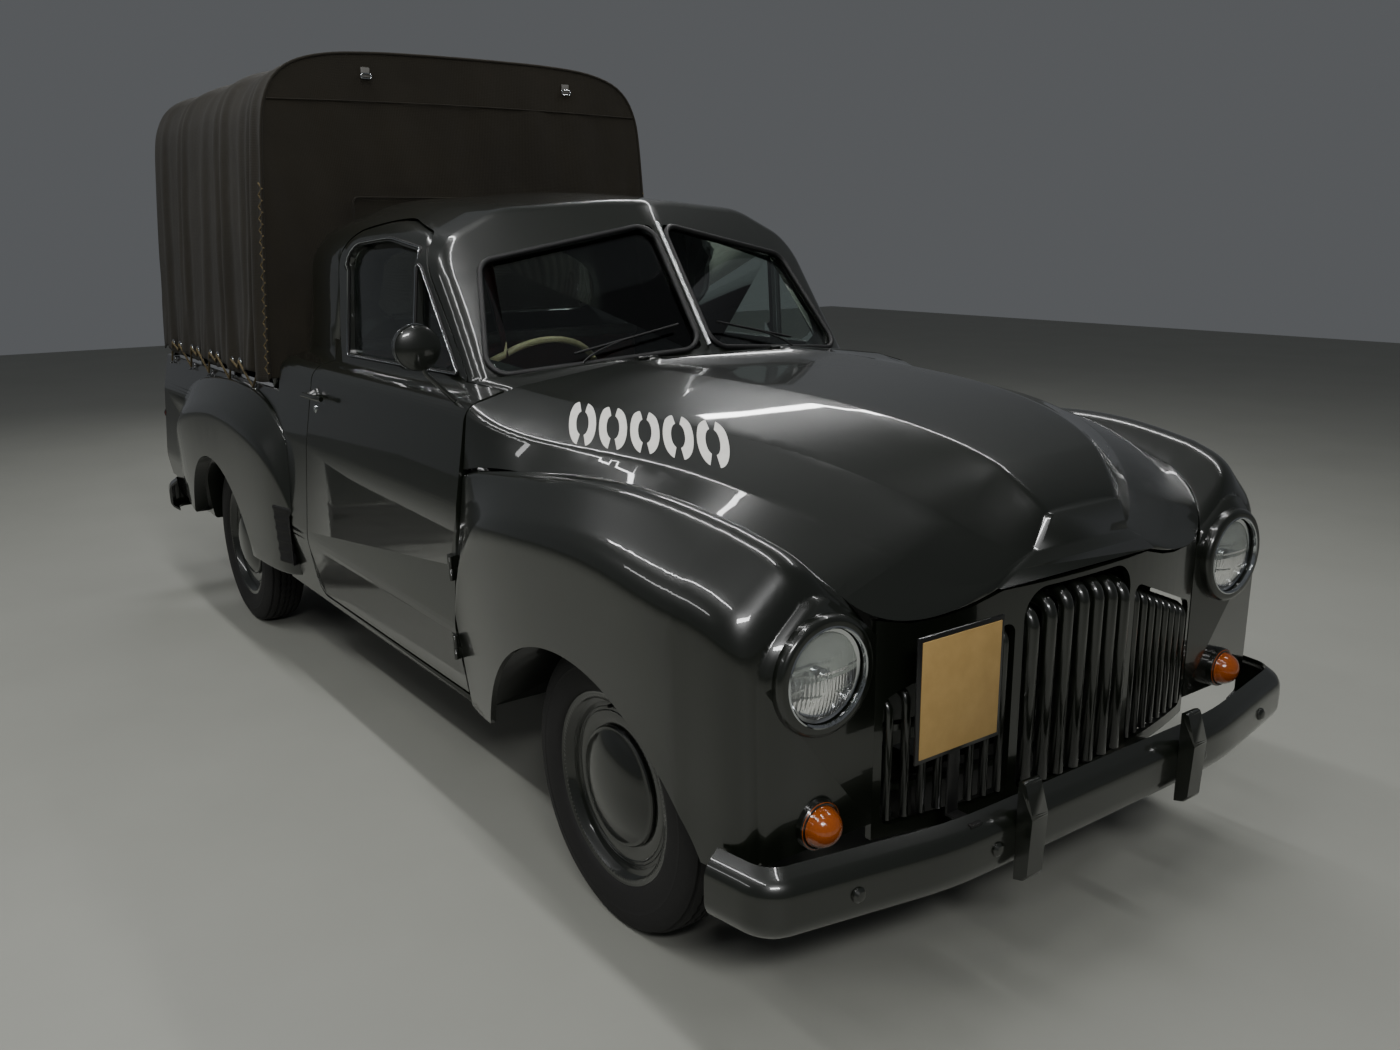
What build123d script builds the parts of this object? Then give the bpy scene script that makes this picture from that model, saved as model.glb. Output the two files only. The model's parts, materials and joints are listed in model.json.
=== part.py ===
from build123d import *
import math
import os

# A right-hand-drive coupe utility: rounded steel cab, well-side tray and a high canvas canopy on hoops.
# Millimetres. While it is drawn, X runs forward from the front axle, Y to the left and Z up from the
# ground; every piece is then moved so that the origin is under the middle of the length.

# Overall sizes
WHEELBASE = 2616.0
TRACK_FRONT = 1346.0
TRACK_REAR = 1372.0
FRONT_OVERHANG = 725.0
REAR_OVERHANG = 1028.0
HALF_WIDTH = 851.0

# Thicknesses
CAB_WALL = 40.0
PANEL = 14.0
TRAY_WALL = 35.0
FLOOR_PLATE = 12.0
GLASS = 6.0
GLASS_DEPTH = 12.0
CANVAS = 10.0

# Clearances
PANEL_GAP = 7.0
GLASS_FIT = 0.3
SEAT_FIT = 0.3

# Places along the body
DOOR_FRONT_X = -603.0
DOOR_REAR_X = -1690.0
CAB_REAR_X = -1990.0
TRAY_REAR_X = -3560.0
REAR_AXLE_X = -WHEELBASE
TRAY_FRONT_X = CAB_REAR_X - 0.3
TRAY_FLOOR_Z = 602.0
TRAY_RAIL_Z = 955.0
BODY_BOTTOM = 311.0
BELT = 1092.0

# Windscreen: two flat panes that meet in a V on the centre line
SCREEN_BASE = Vector(-632.0, 0.0, 1144.0)
SCREEN_TOP = Vector(-877.0, 0.0, 1472.0)
SCREEN_CORNER = Vector(-767.0, 596.0, 1096.0)

SCREEN_BAR = 36.0
SCREEN_ROUND = 55.0

# Doors
DOOR_PLANE_Y = 797.0
DOOR_SHOULDER_Y = 634.0
FRAME_INNER_Y = 480.0
DOOR_BOTTOM = 345.0
DOOR_SWEEP = 14.0
DOOR_AXIS_Y = 799.0
HINGE_RADIUS = 6.0
DOOR_HINGES = [(440.0, 500.0), (640.0, 700.0)]
POST_Y = 762.0

# Bonnet hinges
BONNET_HINGE_Y = [-220.0, 220.0]
BONNET_AXIS_Z = 1134.0
HINGE_LEAF = 30.0

# Front end under the panels
POST_INSET = 22.0
POST_DROP = 12.0
FIREWALL_X = -561.0
BAY_Y = 420.0
BAY_FRONT_X = 470.0
GUTTER_DROP = 30.0
GUTTER_FLANGE = 30.0
APRON_HALF = 499.7
FIREWALL = 14.0
PILLAR_ROUND = 45.0
ARCH_RADIUS = 467.0
ARCH_Z = 166.0
RAIL_IN = 300.0
RAIL_OUT = 360.0
TOWER_Y = 388.0
RAIL_LOW = 330.0
RAIL_HIGH = 430.0
ARM_LOW = 222.0
ARM_HIGH = 392.0
ARM_THICK = 14.0
RAIL_END_X = 500.0

# Inside the cab
FLOOR_Z = 334.0
TUNNEL_HALF = 95.0
TUNNEL_Z = 420.0
DASH_HALF = 580.0
WHEEL_CENTRE = (-1000.0, -350.0, 1000.0)
STEER_RADIUS = 205.0
STEER_LEAN = 35.0
COLUMN_RADIUS = 20.0

# Tray, its wheel wells and the tailgate
TRAY_INSIDE_Y = 713.0
WELL_RADIUS = 346.0
WELL_INNER_Y = 577.0
REAR_ARCH_RADIUS = 440.0
REAR_ARCH_Z = 210.0
BUMPER_NOTCH = 60.0
TAILGATE_X = TRAY_REAR_X - PANEL_GAP
TAILGATE_THICK = 30.0
TAILGATE_HALF = 735.0
TAILGATE_LOW = 566.0
TAILGATE_AXIS_X = TAILGATE_X - 20.0
TAILGATE_AXIS_Z = 552.0

# Nose and grille
NOSE_X = 600.0
NOSE_ROUND = 1890.0
APRON_LOW = 350.0
APRON_HIGH = 795.0
GRILLE_LOW = 375.0
GRILLE_HALF = 168.0
GRILLE_SIDE_IN = 190.0
GRILLE_SIDE_OUT = 482.0
MIDDLE_BARS = 7
SIDE_BARS = 8
BAR_RADIUS = 15.0
SIDE_BAR_RADIUS = 9.0
BAR_START = 8.0

# Lamps
LAMP_Y = 631.0
LAMP_Z = 709.0
LAMP_X = 520.0
LENS_RADIUS = 88.0
BEZEL_RADIUS = 110.0
TURN_Y = 637.0
TURN_Z = 430.0
TURN_RADIUS = 38.0

# Bumpers
BUMPER_X = 690.0
BUMPER_Z = 345.0
BUMPER_HALF_HEIGHT = 68.0
BUMPER_PLATE = 10.0
OVERRIDER_Y = 260.0

# Wheels
TYRE_RADIUS = 314.0
TYRE_WIDTH = 145.0
RIM_RADIUS = 205.0
RIM_WIDTH = 118.0
DISC_THICK = 8.0
HUBCAP_RADIUS = 130.0
HUBCAP_DEPTH = 46.0
HUB_RADIUS = 42.0
STUB_RADIUS = 16.0
BORE_FIT = 0.05

# Steering
KINGPIN_INSET = 62.0
KINGPIN_RADIUS = 11.0
BACKPLATE_RADIUS = 72.0

# Canopy
CANOPY_FRONT_X = -2049.0
CANOPY_REAR_X = -3510.0
HEM_Z = 985.0
HOOP_RADIUS = 13.0
HOOPS = [-2078.0, -2545.0, -3010.0, -3475.0]


def at_x(x):
    """A plane across the vehicle, drawn in Y and Z."""
    return Plane(origin=(x, 0, 0), x_dir=(0, 1, 0), z_dir=(1, 0, 0))


def at_y(y):
    """A plane along the vehicle, drawn in X and Z."""
    return Plane(origin=(0, y, 0), x_dir=(1, 0, 0), z_dir=(0, -1, 0))


def at_z(z):
    """A level plane, drawn in X and Y."""
    return Plane.XY.offset(z)


def outline(plane, rows):
    """A closed face from rows of first place, second place and corner radius."""
    line = FilletPolyline(*[(a, b) for a, b, r in rows], radius=[r for a, b, r in rows], close=True)
    return plane * make_face(line)


def both_sides(rows):
    """Right-hand rows, listed from the top down, closed by their mirror image."""
    left = [(-y, z, r) for y, z, r in reversed(rows) if y > 0]
    return rows + left


def block(x0, x1, y0, y1, z0, z1):
    """A box between two corners."""
    middle = ((x0 + x1) / 2, (y0 + y1) / 2, (z0 + z1) / 2)
    return Pos(*middle) * Box(abs(x1 - x0), abs(y1 - y0), abs(z1 - z0))


def rod(start, end, radius):
    """A round bar between two points."""
    a = Vector(*start)
    b = Vector(*end)
    run = b - a
    return Plane(origin=a, z_dir=run) * Cylinder(radius, run.length, align=(Align.CENTER, Align.CENTER, Align.MIN))


def bent_rod(points, radii, radius):
    """A round bar along straight runs and tangent arcs."""
    path = FilletPolyline(*points, radius=radii) if radii else Polyline(*points)
    start = Plane(origin=path @ 0, z_dir=path % 0)
    return sweep(start * Circle(radius), path=path)


def two_spans(faces, split):
    """A smooth loft in two spans that share one station."""
    return loft(faces[: split + 1]) + loft(faces[split:])


def other_side(piece):
    """The mirror image across the centre line."""
    return mirror(piece, about=Plane.XZ)


# Body sections below the glass

# Half-width, height, corner radius of the cab's lower body from the cowl top down
COWL = [(300, 1128, 150), (600, BELT, 120), (738, 1055, 60), (775, 820, 300), (797, 520, 200)]
WAIST = [(300, 1100, 150), (600, BELT, 120), (738, 1055, 60), (775, 820, 300), (797, 520, 200)]


def lower_body(inset, front, rear, bottom):
    """The cab below the glass between two stations, drawn smaller by an inset."""
    faces = []
    for x, rows in ((front, COWL), (rear, WAIST)):
        drawn = [(y - inset, z - inset, r) for y, z, r in rows] + [(765 - inset, bottom, 15)]
        faces.append(outline(at_x(x), both_sides(drawn)))
    return loft(faces, ruled=True)


# X of the station, belt half-width, rail half-width and height, shoulder half-width and height, crest height
ROOF = [
    (-540, 610, 575, 1360, 380, 1465, 1495),
    (-905, 640, 602, 1400, 400, 1500, 1541),
    (-1400, 668, 646, 1452, 420, 1545, 1574),
    (-1800, 668, 640, 1446, 415, 1538, 1566),
    (-2010, 645, 610, 1420, 400, 1512, 1540),
]
REAR_GLASS_TOP = (-1850.0, 1566.0)
REAR_GLASS_BASE = (-1985.0, 1085.0)


def screen_plane(side, inset):
    """The plane of a windscreen pane on the left (1) or right (-1), facing out."""
    corner = Vector(SCREEN_CORNER.X, side * SCREEN_CORNER.Y, SCREEN_CORNER.Z)
    across = (corner - SCREEN_BASE) * side
    up = SCREEN_TOP - SCREEN_BASE
    normal = across.cross(up).normalized()
    return Plane(origin=SCREEN_BASE - normal * inset, x_dir=across, z_dir=normal)


def rear_plane(inset):
    """The raked plane of the cab's rear window, facing back."""
    base = Vector(REAR_GLASS_BASE[0], 0, REAR_GLASS_BASE[1])
    top = Vector(REAR_GLASS_TOP[0], 0, REAR_GLASS_TOP[1])
    normal = Vector(0, 1, 0).cross(top - base).normalized() * -1
    return Plane(origin=base - normal * inset, x_dir=(0, -1, 0), z_dir=normal)


def greenhouse(inset):
    """Roof and pillars as one closed form, drawn smaller by an inset."""
    faces = []
    for x, belt, rail_y, rail_z, shoulder_y, shoulder_z, crest in ROOF:
        rows = [
            (0, crest - inset, 1500),
            (shoulder_y - inset / 2, shoulder_z - inset, 300 - inset),
            (rail_y - inset, rail_z - inset * 0.7, 150 - inset),
            (belt - inset, 1030 - inset, 0),
        ]
        faces.append(outline(at_x(x), both_sides(rows)))
    form = loft(faces)
    beyond = Box(2400, 2400, 900, align=(Align.CENTER, Align.CENTER, Align.MIN))
    form -= screen_plane(1, inset) * beyond
    form -= screen_plane(-1, inset) * beyond
    form -= rear_plane(inset) * beyond
    return form


def screen_opening(side, inset):
    """The outline of one windscreen pane on its own plane, drawn smaller by an inset."""
    plane = screen_plane(side, 0)
    low = plane.to_local_coords(Vector(SCREEN_CORNER.X, side * SCREEN_CORNER.Y, SCREEN_CORNER.Z))
    high = plane.to_local_coords(Vector(-967.0, side * 509.0, 1365.0))
    top = plane.to_local_coords(SCREEN_TOP)
    bar = SCREEN_BAR / 2 + inset
    rows = [
        (side * bar, inset, SCREEN_BAR / 2),
        (low.X - side * inset, low.Y + inset, SCREEN_ROUND),
        (high.X - side * inset, high.Y - inset, SCREEN_ROUND),
        (top.X + side * bar, top.Y - inset, SCREEN_BAR / 2),
    ]
    return outline(plane, rows)


def tilted_prism(side, rows, inner_y):
    """A side outline run inward and forward, so that a swinging door clears its opening."""
    face = outline(at_y(side * DOOR_PLANE_Y), rows)
    lean = math.radians(DOOR_SWEEP)
    run = Vector(math.sin(lean), -side * math.cos(lean), 0)
    inner = extrude(face, amount=(DOOR_PLANE_Y - inner_y) / math.cos(lean), dir=run)
    outer = extrude(face, amount=60.0, dir=run * -1)
    return inner + outer


def door_form(side, grow):
    """The space of a whole door, drawn larger by a gap; its front edge stands straight."""
    g = grow
    lower = [
        (DOOR_FRONT_X + 90, DOOR_BOTTOM - g, 0),
        (DOOR_FRONT_X + 90, 1140, 0),
        (DOOR_REAR_X - g, 1140, 0),
        (DOOR_REAR_X - g, DOOR_BOTTOM - g, 60 + g),
    ]
    frame = [
        (-862 + g, 1060, 0),
        (-862 + 0.8 * g, 1095, 0),
        (-1160 + 0.8 * g, 1445 + g, 110 + g),
        (-1390, 1490 + g, 250 + g),
        (-1640 - g, 1440 + g, 130 + g),
        (-1640 - g, 1060, 0),
    ]
    form = tilted_prism(side, lower, DOOR_SHOULDER_Y - g)
    form += tilted_prism(side, frame, FRAME_INNER_Y)
    return form - block(DOOR_FRONT_X + g, 0, -900, 900, 0, 2000)


def glass_rows(inset):
    """X, Z and corner radius of the sliding glass in a door."""
    i = inset
    return [
        (-1155 - i, 1102 + i, 10),
        (-1157 - i, 1404 - i, 14),
        (-1345, 1432 - i, 250),
        (-1572 + i, 1412 - i, 80),
        (-1575 + i, 1102 + i, 14),
    ]


def vent_rows(inset):
    """X, Z and corner radius of the hinged quarter glass in a door."""
    i = inset
    return [
        (-908 - 1.6 * i, 1102 + i, 10),
        (-1118 - i, 1352 - 1.6 * i, 8),
        (-1137 + i, 1364 - i, 6),
        (-1137 + i, 1102 + i, 10),
    ]


# Cab

def cab_forms():
    """The cab with no openings, and the closed form of its inside."""
    shell = lower_body(0, DOOR_FRONT_X, CAB_REAR_X, BODY_BOTTOM)
    post = lower_body(POST_INSET, FIREWALL_X, DOOR_FRONT_X - 100, BODY_BOTTOM)
    shell += post & (Pos(0, 0, -POST_DROP) * post)
    roof = greenhouse(0)
    pillars = [
        edge
        for edge in roof.edges().filter_by(GeomType.LINE, reverse=True)
        if (edge @ 0.5).X > -1100 and (edge @ 0.5).Z > BELT - 50
    ]
    shell += fillet(pillars, PILLAR_ROUND)
    inside = lower_body(CAB_WALL, FIREWALL_X - FIREWALL, CAB_REAR_X + CAB_WALL, BODY_BOTTOM - CAB_WALL)
    inside += greenhouse(CAB_WALL)
    return shell, inside


def door_hinges(side):
    """Hinge halves of one door: the body's lower barrels with their leaves, the door's upper ones, the notch."""
    x = DOOR_FRONT_X + PANEL_GAP / 2
    y = side * DOOR_AXIS_Y
    fixed = []
    moving = []
    notch = []
    for low, high in DOOR_HINGES:
        middle = (low + high) / 2
        leaf = block(x - 2, DOOR_FRONT_X + PANEL_GAP - SEAT_FIT, side * POST_Y, y, low, middle - SEAT_FIT)
        foot = block(x - 2, DOOR_FRONT_X + PANEL_GAP + 10, side * POST_Y, side * (POST_Y + 6), low, middle - SEAT_FIT)
        fixed.append(rod((x, y, low), (x, y, middle - SEAT_FIT), HINGE_RADIUS) + leaf + foot)
        web = block(x - 26, x, side * (DOOR_AXIS_Y - 30), side * (DOOR_AXIS_Y - 3), middle, high)
        moving.append(rod((x, y, middle), (x, y, high), HINGE_RADIUS) + web)
        notch.append(rod((x, y, low - 1), (x, y, high + 1), HINGE_RADIUS + 0.7))
    return fixed, moving, notch


def rear_window_cut(inset):
    """The outline of the cab's rear window on its raked plane."""
    plane = rear_plane(0)
    rows = [
        (-430 + inset, 95 + inset, 60),
        (-400 + inset, 330 - inset, 60),
        (400 - inset, 330 - inset, 60),
        (430 - inset, 95 + inset, 60),
    ]
    return outline(plane, rows)


def glass_layer():
    """A thin curved layer in the middle of the cab's upper wall."""
    outer = greenhouse((CAB_WALL - GLASS) / 2)
    inner = greenhouse((CAB_WALL + GLASS) / 2)
    return outer - inner


# Front fenders

# X, shut line Y and Z, crown Y, Z and radius, bulge Y and Z, lower edge Y and Z
FRONT_FENDER = [
    (-596, 722, 898, 756, 892, 16, 798, 560, 766, 311),
    (-400, 722, 916, 756, 950, 26, 834, 800, 800, 330),
    (-200, 699, 928, 745, 990, 45, 850, 850, 822, 350),
    (0, 673, 932, 735, 1006, 50, 851, 870, 830, 355),
    (200, 646, 924, 715, 995, 50, 848, 868, 832, 358),
    (380, 609, 892, 692, 964, 50, 835, 850, 822, 358),
    (460, 577, 860, 676, 938, 50, 812, 822, 802, 362),
    (505, 545, 813, 655, 902, 50, 785, 785, 780, 368),
    (520, 530, 780, 640, 860, 50, 756, 756, 752, 385),
]


def front_fender():
    """The left front fender: a curved skin with a gutter under the bonnet's edge, and its arch."""
    faces = []
    t = PANEL
    for x, shut_y, shut_z, crown_y, crown_z, crown_r, bulge_y, bulge_z, low_y, low_z in FRONT_FENDER:
        gutter = shut_z - GUTTER_DROP
        under = crown_z - t * 1.3
        lean = (bulge_y - crown_y) / (crown_z - bulge_z)
        under_y = crown_y + t * 1.3 * lean - t
        rows = [
            (shut_y - GUTTER_FLANGE, gutter, 0),
            (shut_y, gutter, 0),
            (shut_y, shut_z, 3),
            (crown_y, crown_z, crown_r),
            (bulge_y, bulge_z, 110),
            (low_y, low_z, 0),
            (low_y - t, low_z, 0),
            (bulge_y - t, bulge_z - t / 2, 96),
            (under_y, under, crown_r - t),
            (shut_y + t, shut_z - t / 2, 0),
            (shut_y + t, gutter - t, 0),
            (shut_y - GUTTER_FLANGE, gutter - t, 0),
        ]
        faces.append(outline(at_x(x), rows))
    piece = two_spans(faces, 5)
    x, shut_y, shut_z, crown_y, crown_z, crown_r, bulge_y, bulge_z, low_y, low_z = FRONT_FENDER[-1]
    front = [
        (shut_y - GUTTER_FLANGE, shut_z - GUTTER_DROP, 0),
        (shut_y, shut_z, 3),
        (crown_y, crown_z, crown_r),
        (bulge_y, bulge_z, 110),
        (low_y, low_z, 0),
        (shut_y - GUTTER_FLANGE, low_z, 0),
    ]
    piece += extrude(outline(at_x(x), front), amount=PANEL)
    arch = Plane(origin=(0, 700, ARCH_Z), z_dir=(0, 1, 0)) * Cylinder(ARCH_RADIUS, 400)
    piece -= arch
    return piece - lower_body(POST_INSET - SEAT_FIT, FIREWALL_X + SEAT_FIT, DOOR_FRONT_X - 100, BODY_BOTTOM)


def engine_bay_side():
    """The left inner panel of the engine bay, which holds the fender's gutter."""
    faces = []
    for x, shut_y, shut_z, *rest in FRONT_FENDER[1:-3]:
        top = shut_z - GUTTER_DROP
        edge = shut_y - GUTTER_FLANGE - SEAT_FIT
        rows = [(BAY_Y, top, 0), (edge, top, 0), (edge, top - PANEL, 0), (BAY_Y + PANEL, top - PANEL, 0),
                (BAY_Y + PANEL, RAIL_LOW, 0), (BAY_Y, RAIL_LOW, 0)]
        faces.append(outline(at_x(x), rows))
    piece = loft(faces, ruled=True)
    last = FRONT_FENDER[-4][0]
    piece += block(last, BAY_FRONT_X, BAY_Y, BAY_Y + PANEL, RAIL_LOW, 780)
    piece += block(FIREWALL_X + SEAT_FIT, FRONT_FENDER[1][0], BAY_Y, BAY_Y + PANEL, RAIL_LOW, 886)
    piece -= block(-190, 190, 400, 460, 150, 560)
    return piece


# Bonnet

# X, half-width and height of the centre band, valley, shoulder and lower edge, and corner radius
BONNET = [
    (-596, 300, 1128, 600, 1090, 736, 1052, 754, 906, 34),
    (-200, 270, 1118, 520, 1060, 656, 1000, 698, 936, 34),
    (200, 222, 1092, 430, 1030, 578, 980, 645, 932, 32),
    (400, 182, 1052, 345, 975, 506, 924, 604, 892, 28),
    (500, 150, 1010, 268, 915, 412, 866, 548, 820, 24),
    (555, 126, 962, 200, 872, 320, 815, 440, 772, 20),
    (582, 108, 925, 140, 858, 190, 832, 240, 802, 17),
]


def bonnet():
    """The bonnet: a raised centre band with valleys beside it, wrapped down to the fenders."""
    faces = []
    t = PANEL
    for x, band_y, band_z, valley_y, valley_z, side_y, side_z, edge_y, edge_z, round_off in BONNET:
        rows = [
            (band_y, band_z, round_off),
            (valley_y, valley_z, round_off),
            (side_y, side_z, round_off),
            (edge_y, edge_z, 0),
            (edge_y - t, edge_z, 0),
            (side_y - t, side_z - t, round_off - 10),
            (valley_y - t / 2, valley_z - t, round_off - 10),
            (band_y - t / 2, band_z - t, round_off - 10),
        ]
        faces.append(outline(at_x(x), both_sides(rows)))
    piece = two_spans(faces, 4)
    x, band_y, band_z, valley_y, valley_z, side_y, side_z, edge_y, edge_z, round_off = BONNET[-1]
    nose = [(band_y, band_z, round_off), (valley_y, valley_z, round_off), (side_y, side_z, round_off),
            (edge_y, edge_z, 0)]
    piece += extrude(outline(at_x(x), both_sides(nose)), amount=12)
    return piece


def bonnet_hinge(y, direction):
    """The fixed (-1) or moving (1) half of a bonnet hinge at one place across."""
    x = DOOR_FRONT_X + PANEL_GAP / 2
    low = y if direction > 0 else y - HINGE_LEAF
    half = rod((x, low + SEAT_FIT / 2, BONNET_AXIS_Z), (x, low + HINGE_LEAF - SEAT_FIT / 2, BONNET_AXIS_Z), 4)
    leaf = block(x, x + direction * 14, low + SEAT_FIT / 2, low + HINGE_LEAF - SEAT_FIT / 2, 1119, BONNET_AXIS_Z)
    return half + leaf


# Wheels and tyres, drawn for the left side about an axle along Y

def turned(rows, x, y, z):
    """A piece turned about a line along Y; rows are distance out from Y, radius and corner radius."""
    face = outline(Plane(origin=(x, y, z), x_dir=(0, 1, 0), z_dir=(-1, 0, 0)), rows)
    return revolve(face, axis=Axis((x, y, z), (0, 1, 0)))


def tyre(x, y):
    half = TYRE_WIDTH / 2
    bead = RIM_WIDTH / 2 - 6
    rows = [
        (-bead, RIM_RADIUS, 0),
        (-half, (RIM_RADIUS + TYRE_RADIUS) / 2, 0),
        (-half + 8, TYRE_RADIUS - 26, 0),
        (-half + 26, TYRE_RADIUS, 0),
        (half - 26, TYRE_RADIUS, 0),
        (half - 8, TYRE_RADIUS - 26, 0),
        (half, (RIM_RADIUS + TYRE_RADIUS) / 2, 0),
        (bead, RIM_RADIUS, 0),
    ]
    return turned(rows, x, y, TYRE_RADIUS)


def wheel(x, y):
    """Rim, ribbed disc, hub and domed cap."""
    half = RIM_WIDTH / 2
    rim = [
        (-half, RIM_RADIUS - SEAT_FIT, 0),
        (-half, RIM_RADIUS - 12, 0),
        (half, RIM_RADIUS - 12, 0),
        (half, RIM_RADIUS - SEAT_FIT, 0),
    ]
    disc = [
        (8, HUB_RADIUS, 0),
        (8 + DISC_THICK, HUB_RADIUS, 0),
        (32, 110, 0),
        (40, 150, 0),
        (34, RIM_RADIUS - 11, 0),
        (26, RIM_RADIUS - 11, 0),
        (31, 150, 0),
        (23, 110, 0),
    ]
    hub = [
        (-20, STUB_RADIUS + BORE_FIT, 0),
        (-20, HUB_RADIUS + 1, 0),
        (26, HUB_RADIUS + 1, 0),
        (26, STUB_RADIUS + BORE_FIT, 0),
    ]
    cap = [
        (34, 0, 0),
        (34, HUBCAP_RADIUS - 2, 0),
        (44, HUBCAP_RADIUS, 3),
        (58, HUBCAP_RADIUS * 0.72, 60),
        (38 + HUBCAP_DEPTH - 10, 0, 0),
    ]
    piece = turned(rim, x, y, TYRE_RADIUS) + turned(disc, x, y, TYRE_RADIUS)
    piece += turned(hub, x, y, TYRE_RADIUS) + turned(cap, x, y, TYRE_RADIUS)
    return piece


def knuckle():
    """The left upright, its brake backplate and stub axle."""
    kingpin_y = TRACK_FRONT / 2 - KINGPIN_INSET
    hub_inner = TRACK_FRONT / 2 - 20
    z = TYRE_RADIUS
    piece = rod((0, kingpin_y, ARM_LOW + ARM_THICK + SEAT_FIT), (0, kingpin_y, ARM_HIGH - SEAT_FIT), KINGPIN_RADIUS)
    piece += block(-24, 24, kingpin_y - 16, kingpin_y + 20, z - 45, z + 45)
    piece += rod((0, kingpin_y + 10, z), (0, hub_inner - 6, z), BACKPLATE_RADIUS)
    piece += rod((0, kingpin_y, z), (0, TRACK_FRONT / 2 + 24, z), STUB_RADIUS)
    return piece


def front_suspension():
    """Crossmember, springs and the wishbones of both sides."""
    kingpin_y = TRACK_FRONT / 2 - KINGPIN_INSET
    piece = block(-60, 60, -TOWER_Y, TOWER_Y, ARM_LOW + ARM_THICK, RAIL_LOW - SEAT_FIT)
    arm_rows = [(RAIL_OUT + 2, -95, 0), (RAIL_OUT + 2, 95, 0), (kingpin_y + 16, 20, 8), (kingpin_y + 16, -20, 8)]
    for side in (-1, 1):
        piece += block(-45, 45, side * (RAIL_OUT + SEAT_FIT), side * TOWER_Y, ARM_LOW, ARM_HIGH + ARM_THICK)
        for z in (ARM_LOW, ARM_HIGH):
            level = Plane(origin=(0, 0, z), x_dir=(0, side, 0), z_dir=(0, 0, 1))
            piece += extrude(outline(level, arm_rows), amount=ARM_THICK)
    return piece


# Tray

def tray_side_form(front, rear, inset):
    """The tray's outer form, which carries on the cab's side."""
    rows = [(748 - inset, TRAY_RAIL_Z, 6), (776 - inset, 820, 300), (797 - inset, 520, 200), (766 - inset, 340, 15)]
    return extrude(outline(at_x(rear), both_sides(rows)), amount=front - rear)


def well(radius, inner, outer):
    """The wheel well of both rear wheels."""
    left = Plane(origin=(REAR_AXLE_X, inner, TYRE_RADIUS), z_dir=(0, 1, 0)) * Cylinder(
        radius, outer - inner, align=(Align.CENTER, Align.CENTER, Align.MIN)
    )
    return left + other_side(left)


def tray_body():
    piece = tray_side_form(TRAY_FRONT_X, TRAY_REAR_X, 0)
    inside = TRAY_INSIDE_Y
    piece -= block(TRAY_FRONT_X - PANEL, TRAY_REAR_X - 10, -inside, inside, TRAY_FLOOR_Z, 1000)
    piece -= block(TRAY_FRONT_X + 10, TRAY_REAR_X - 10, -inside - 20, inside + 20, 300, TRAY_FLOOR_Z - FLOOR_PLATE)
    house = well(WELL_RADIUS + FLOOR_PLATE, WELL_INNER_Y - FLOOR_PLATE, inside + 5)
    house -= block(REAR_AXLE_X - 500, REAR_AXLE_X + 500, -900, 900, -100, TRAY_FLOOR_Z)
    piece += house
    piece -= well(WELL_RADIUS, WELL_INNER_Y, 900)
    piece -= block(TRAY_FRONT_X + 5, TRAY_FRONT_X - 60, -TUNNEL_HALF, TUNNEL_HALF, 200, TUNNEL_Z)
    for side in (-1, 1):
        piece -= block(TRAY_REAR_X - 1, TRAY_REAR_X + BUMPER_NOTCH, side * 720, side * 800, 330, 432)
        piece += tailgate_hinge(side, 0)
    return piece


# X, crown Y and Z, bulge Y and Z, lower edge Y and Z of the rear fender
REAR_FENDER = [
    (-1838, 755, 760, 785, 520, 752, 360),
    (-1960, 776, 856, 832, 740, 812, 350),
    (-2150, 772, 920, 848, 810, 830, 352),
    (-2436, 770, 946, 851, 838, 838, 352),
    (-2750, 768, 934, 851, 815, 836, 352),
    (-3050, 765, 888, 842, 750, 824, 362),
    (-3300, 760, 795, 806, 640, 794, 395),
    (-3490, 740, 660, 775, 560, 750, 440),
]


def rear_fender():
    """The left rear fender over the body side, with its arch."""
    faces = []
    for x, crown_y, crown_z, bulge_y, bulge_z, low_y, low_z in REAR_FENDER:
        rows = [
            (700, crown_z, 0),
            (crown_y, crown_z, 22),
            (bulge_y, bulge_z, 90),
            (low_y, low_z, 10),
            (700, low_z, 0),
        ]
        faces.append(outline(at_x(x), rows))
    piece = loft(faces)
    piece -= tray_side_form(TRAY_FRONT_X, TRAY_REAR_X, -SEAT_FIT)
    piece -= lower_body(-SEAT_FIT, DOOR_FRONT_X, TRAY_FRONT_X, BODY_BOTTOM)
    piece -= well(WELL_RADIUS, WELL_INNER_Y, 818)
    arch = Plane(origin=(REAR_AXLE_X, 700, REAR_ARCH_Z), z_dir=(0, 1, 0)) * Cylinder(REAR_ARCH_RADIUS, 500)
    piece -= arch
    return piece


def tailgate_hinge(side, place):
    """One half of a tailgate hinge: the tray's (0) or the tailgate's (1) beside it."""
    low = side * 500 + place * 40
    high = low + 40 - SEAT_FIT
    x = TAILGATE_AXIS_X
    z = TAILGATE_AXIS_Z
    pin = rod((x, low, z), (x, high, z), 9)
    if place:
        return pin + block(x - 6, x + 6, low, high, z, TAILGATE_LOW + 3)
    return pin + block(x, TRAY_REAR_X + 2, low, high, z - 6, z + 6) + block(
        TRAY_REAR_X - 4, TRAY_REAR_X + 20, low, high, z - 6, TRAY_FLOOR_Z - 4)


def tailgate():
    piece = block(TAILGATE_X - TAILGATE_THICK, TAILGATE_X, -TAILGATE_HALF, TAILGATE_HALF, TAILGATE_LOW, TRAY_RAIL_Z - 4)
    for side in (-1, 1):
        piece += tailgate_hinge(side, 1)
    return piece


# Canopy

def canopy_form(inset, front, rear, bottom):
    rows = [
        (430 - inset, 2036 - inset, 400),
        (655 - inset, 2000 - inset, 120),
        (726 - inset, 1800, 300),
        (768 - inset, bottom, 0),
    ]
    return extrude(outline(at_x(rear), both_sides(rows)), amount=front - rear)


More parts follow.
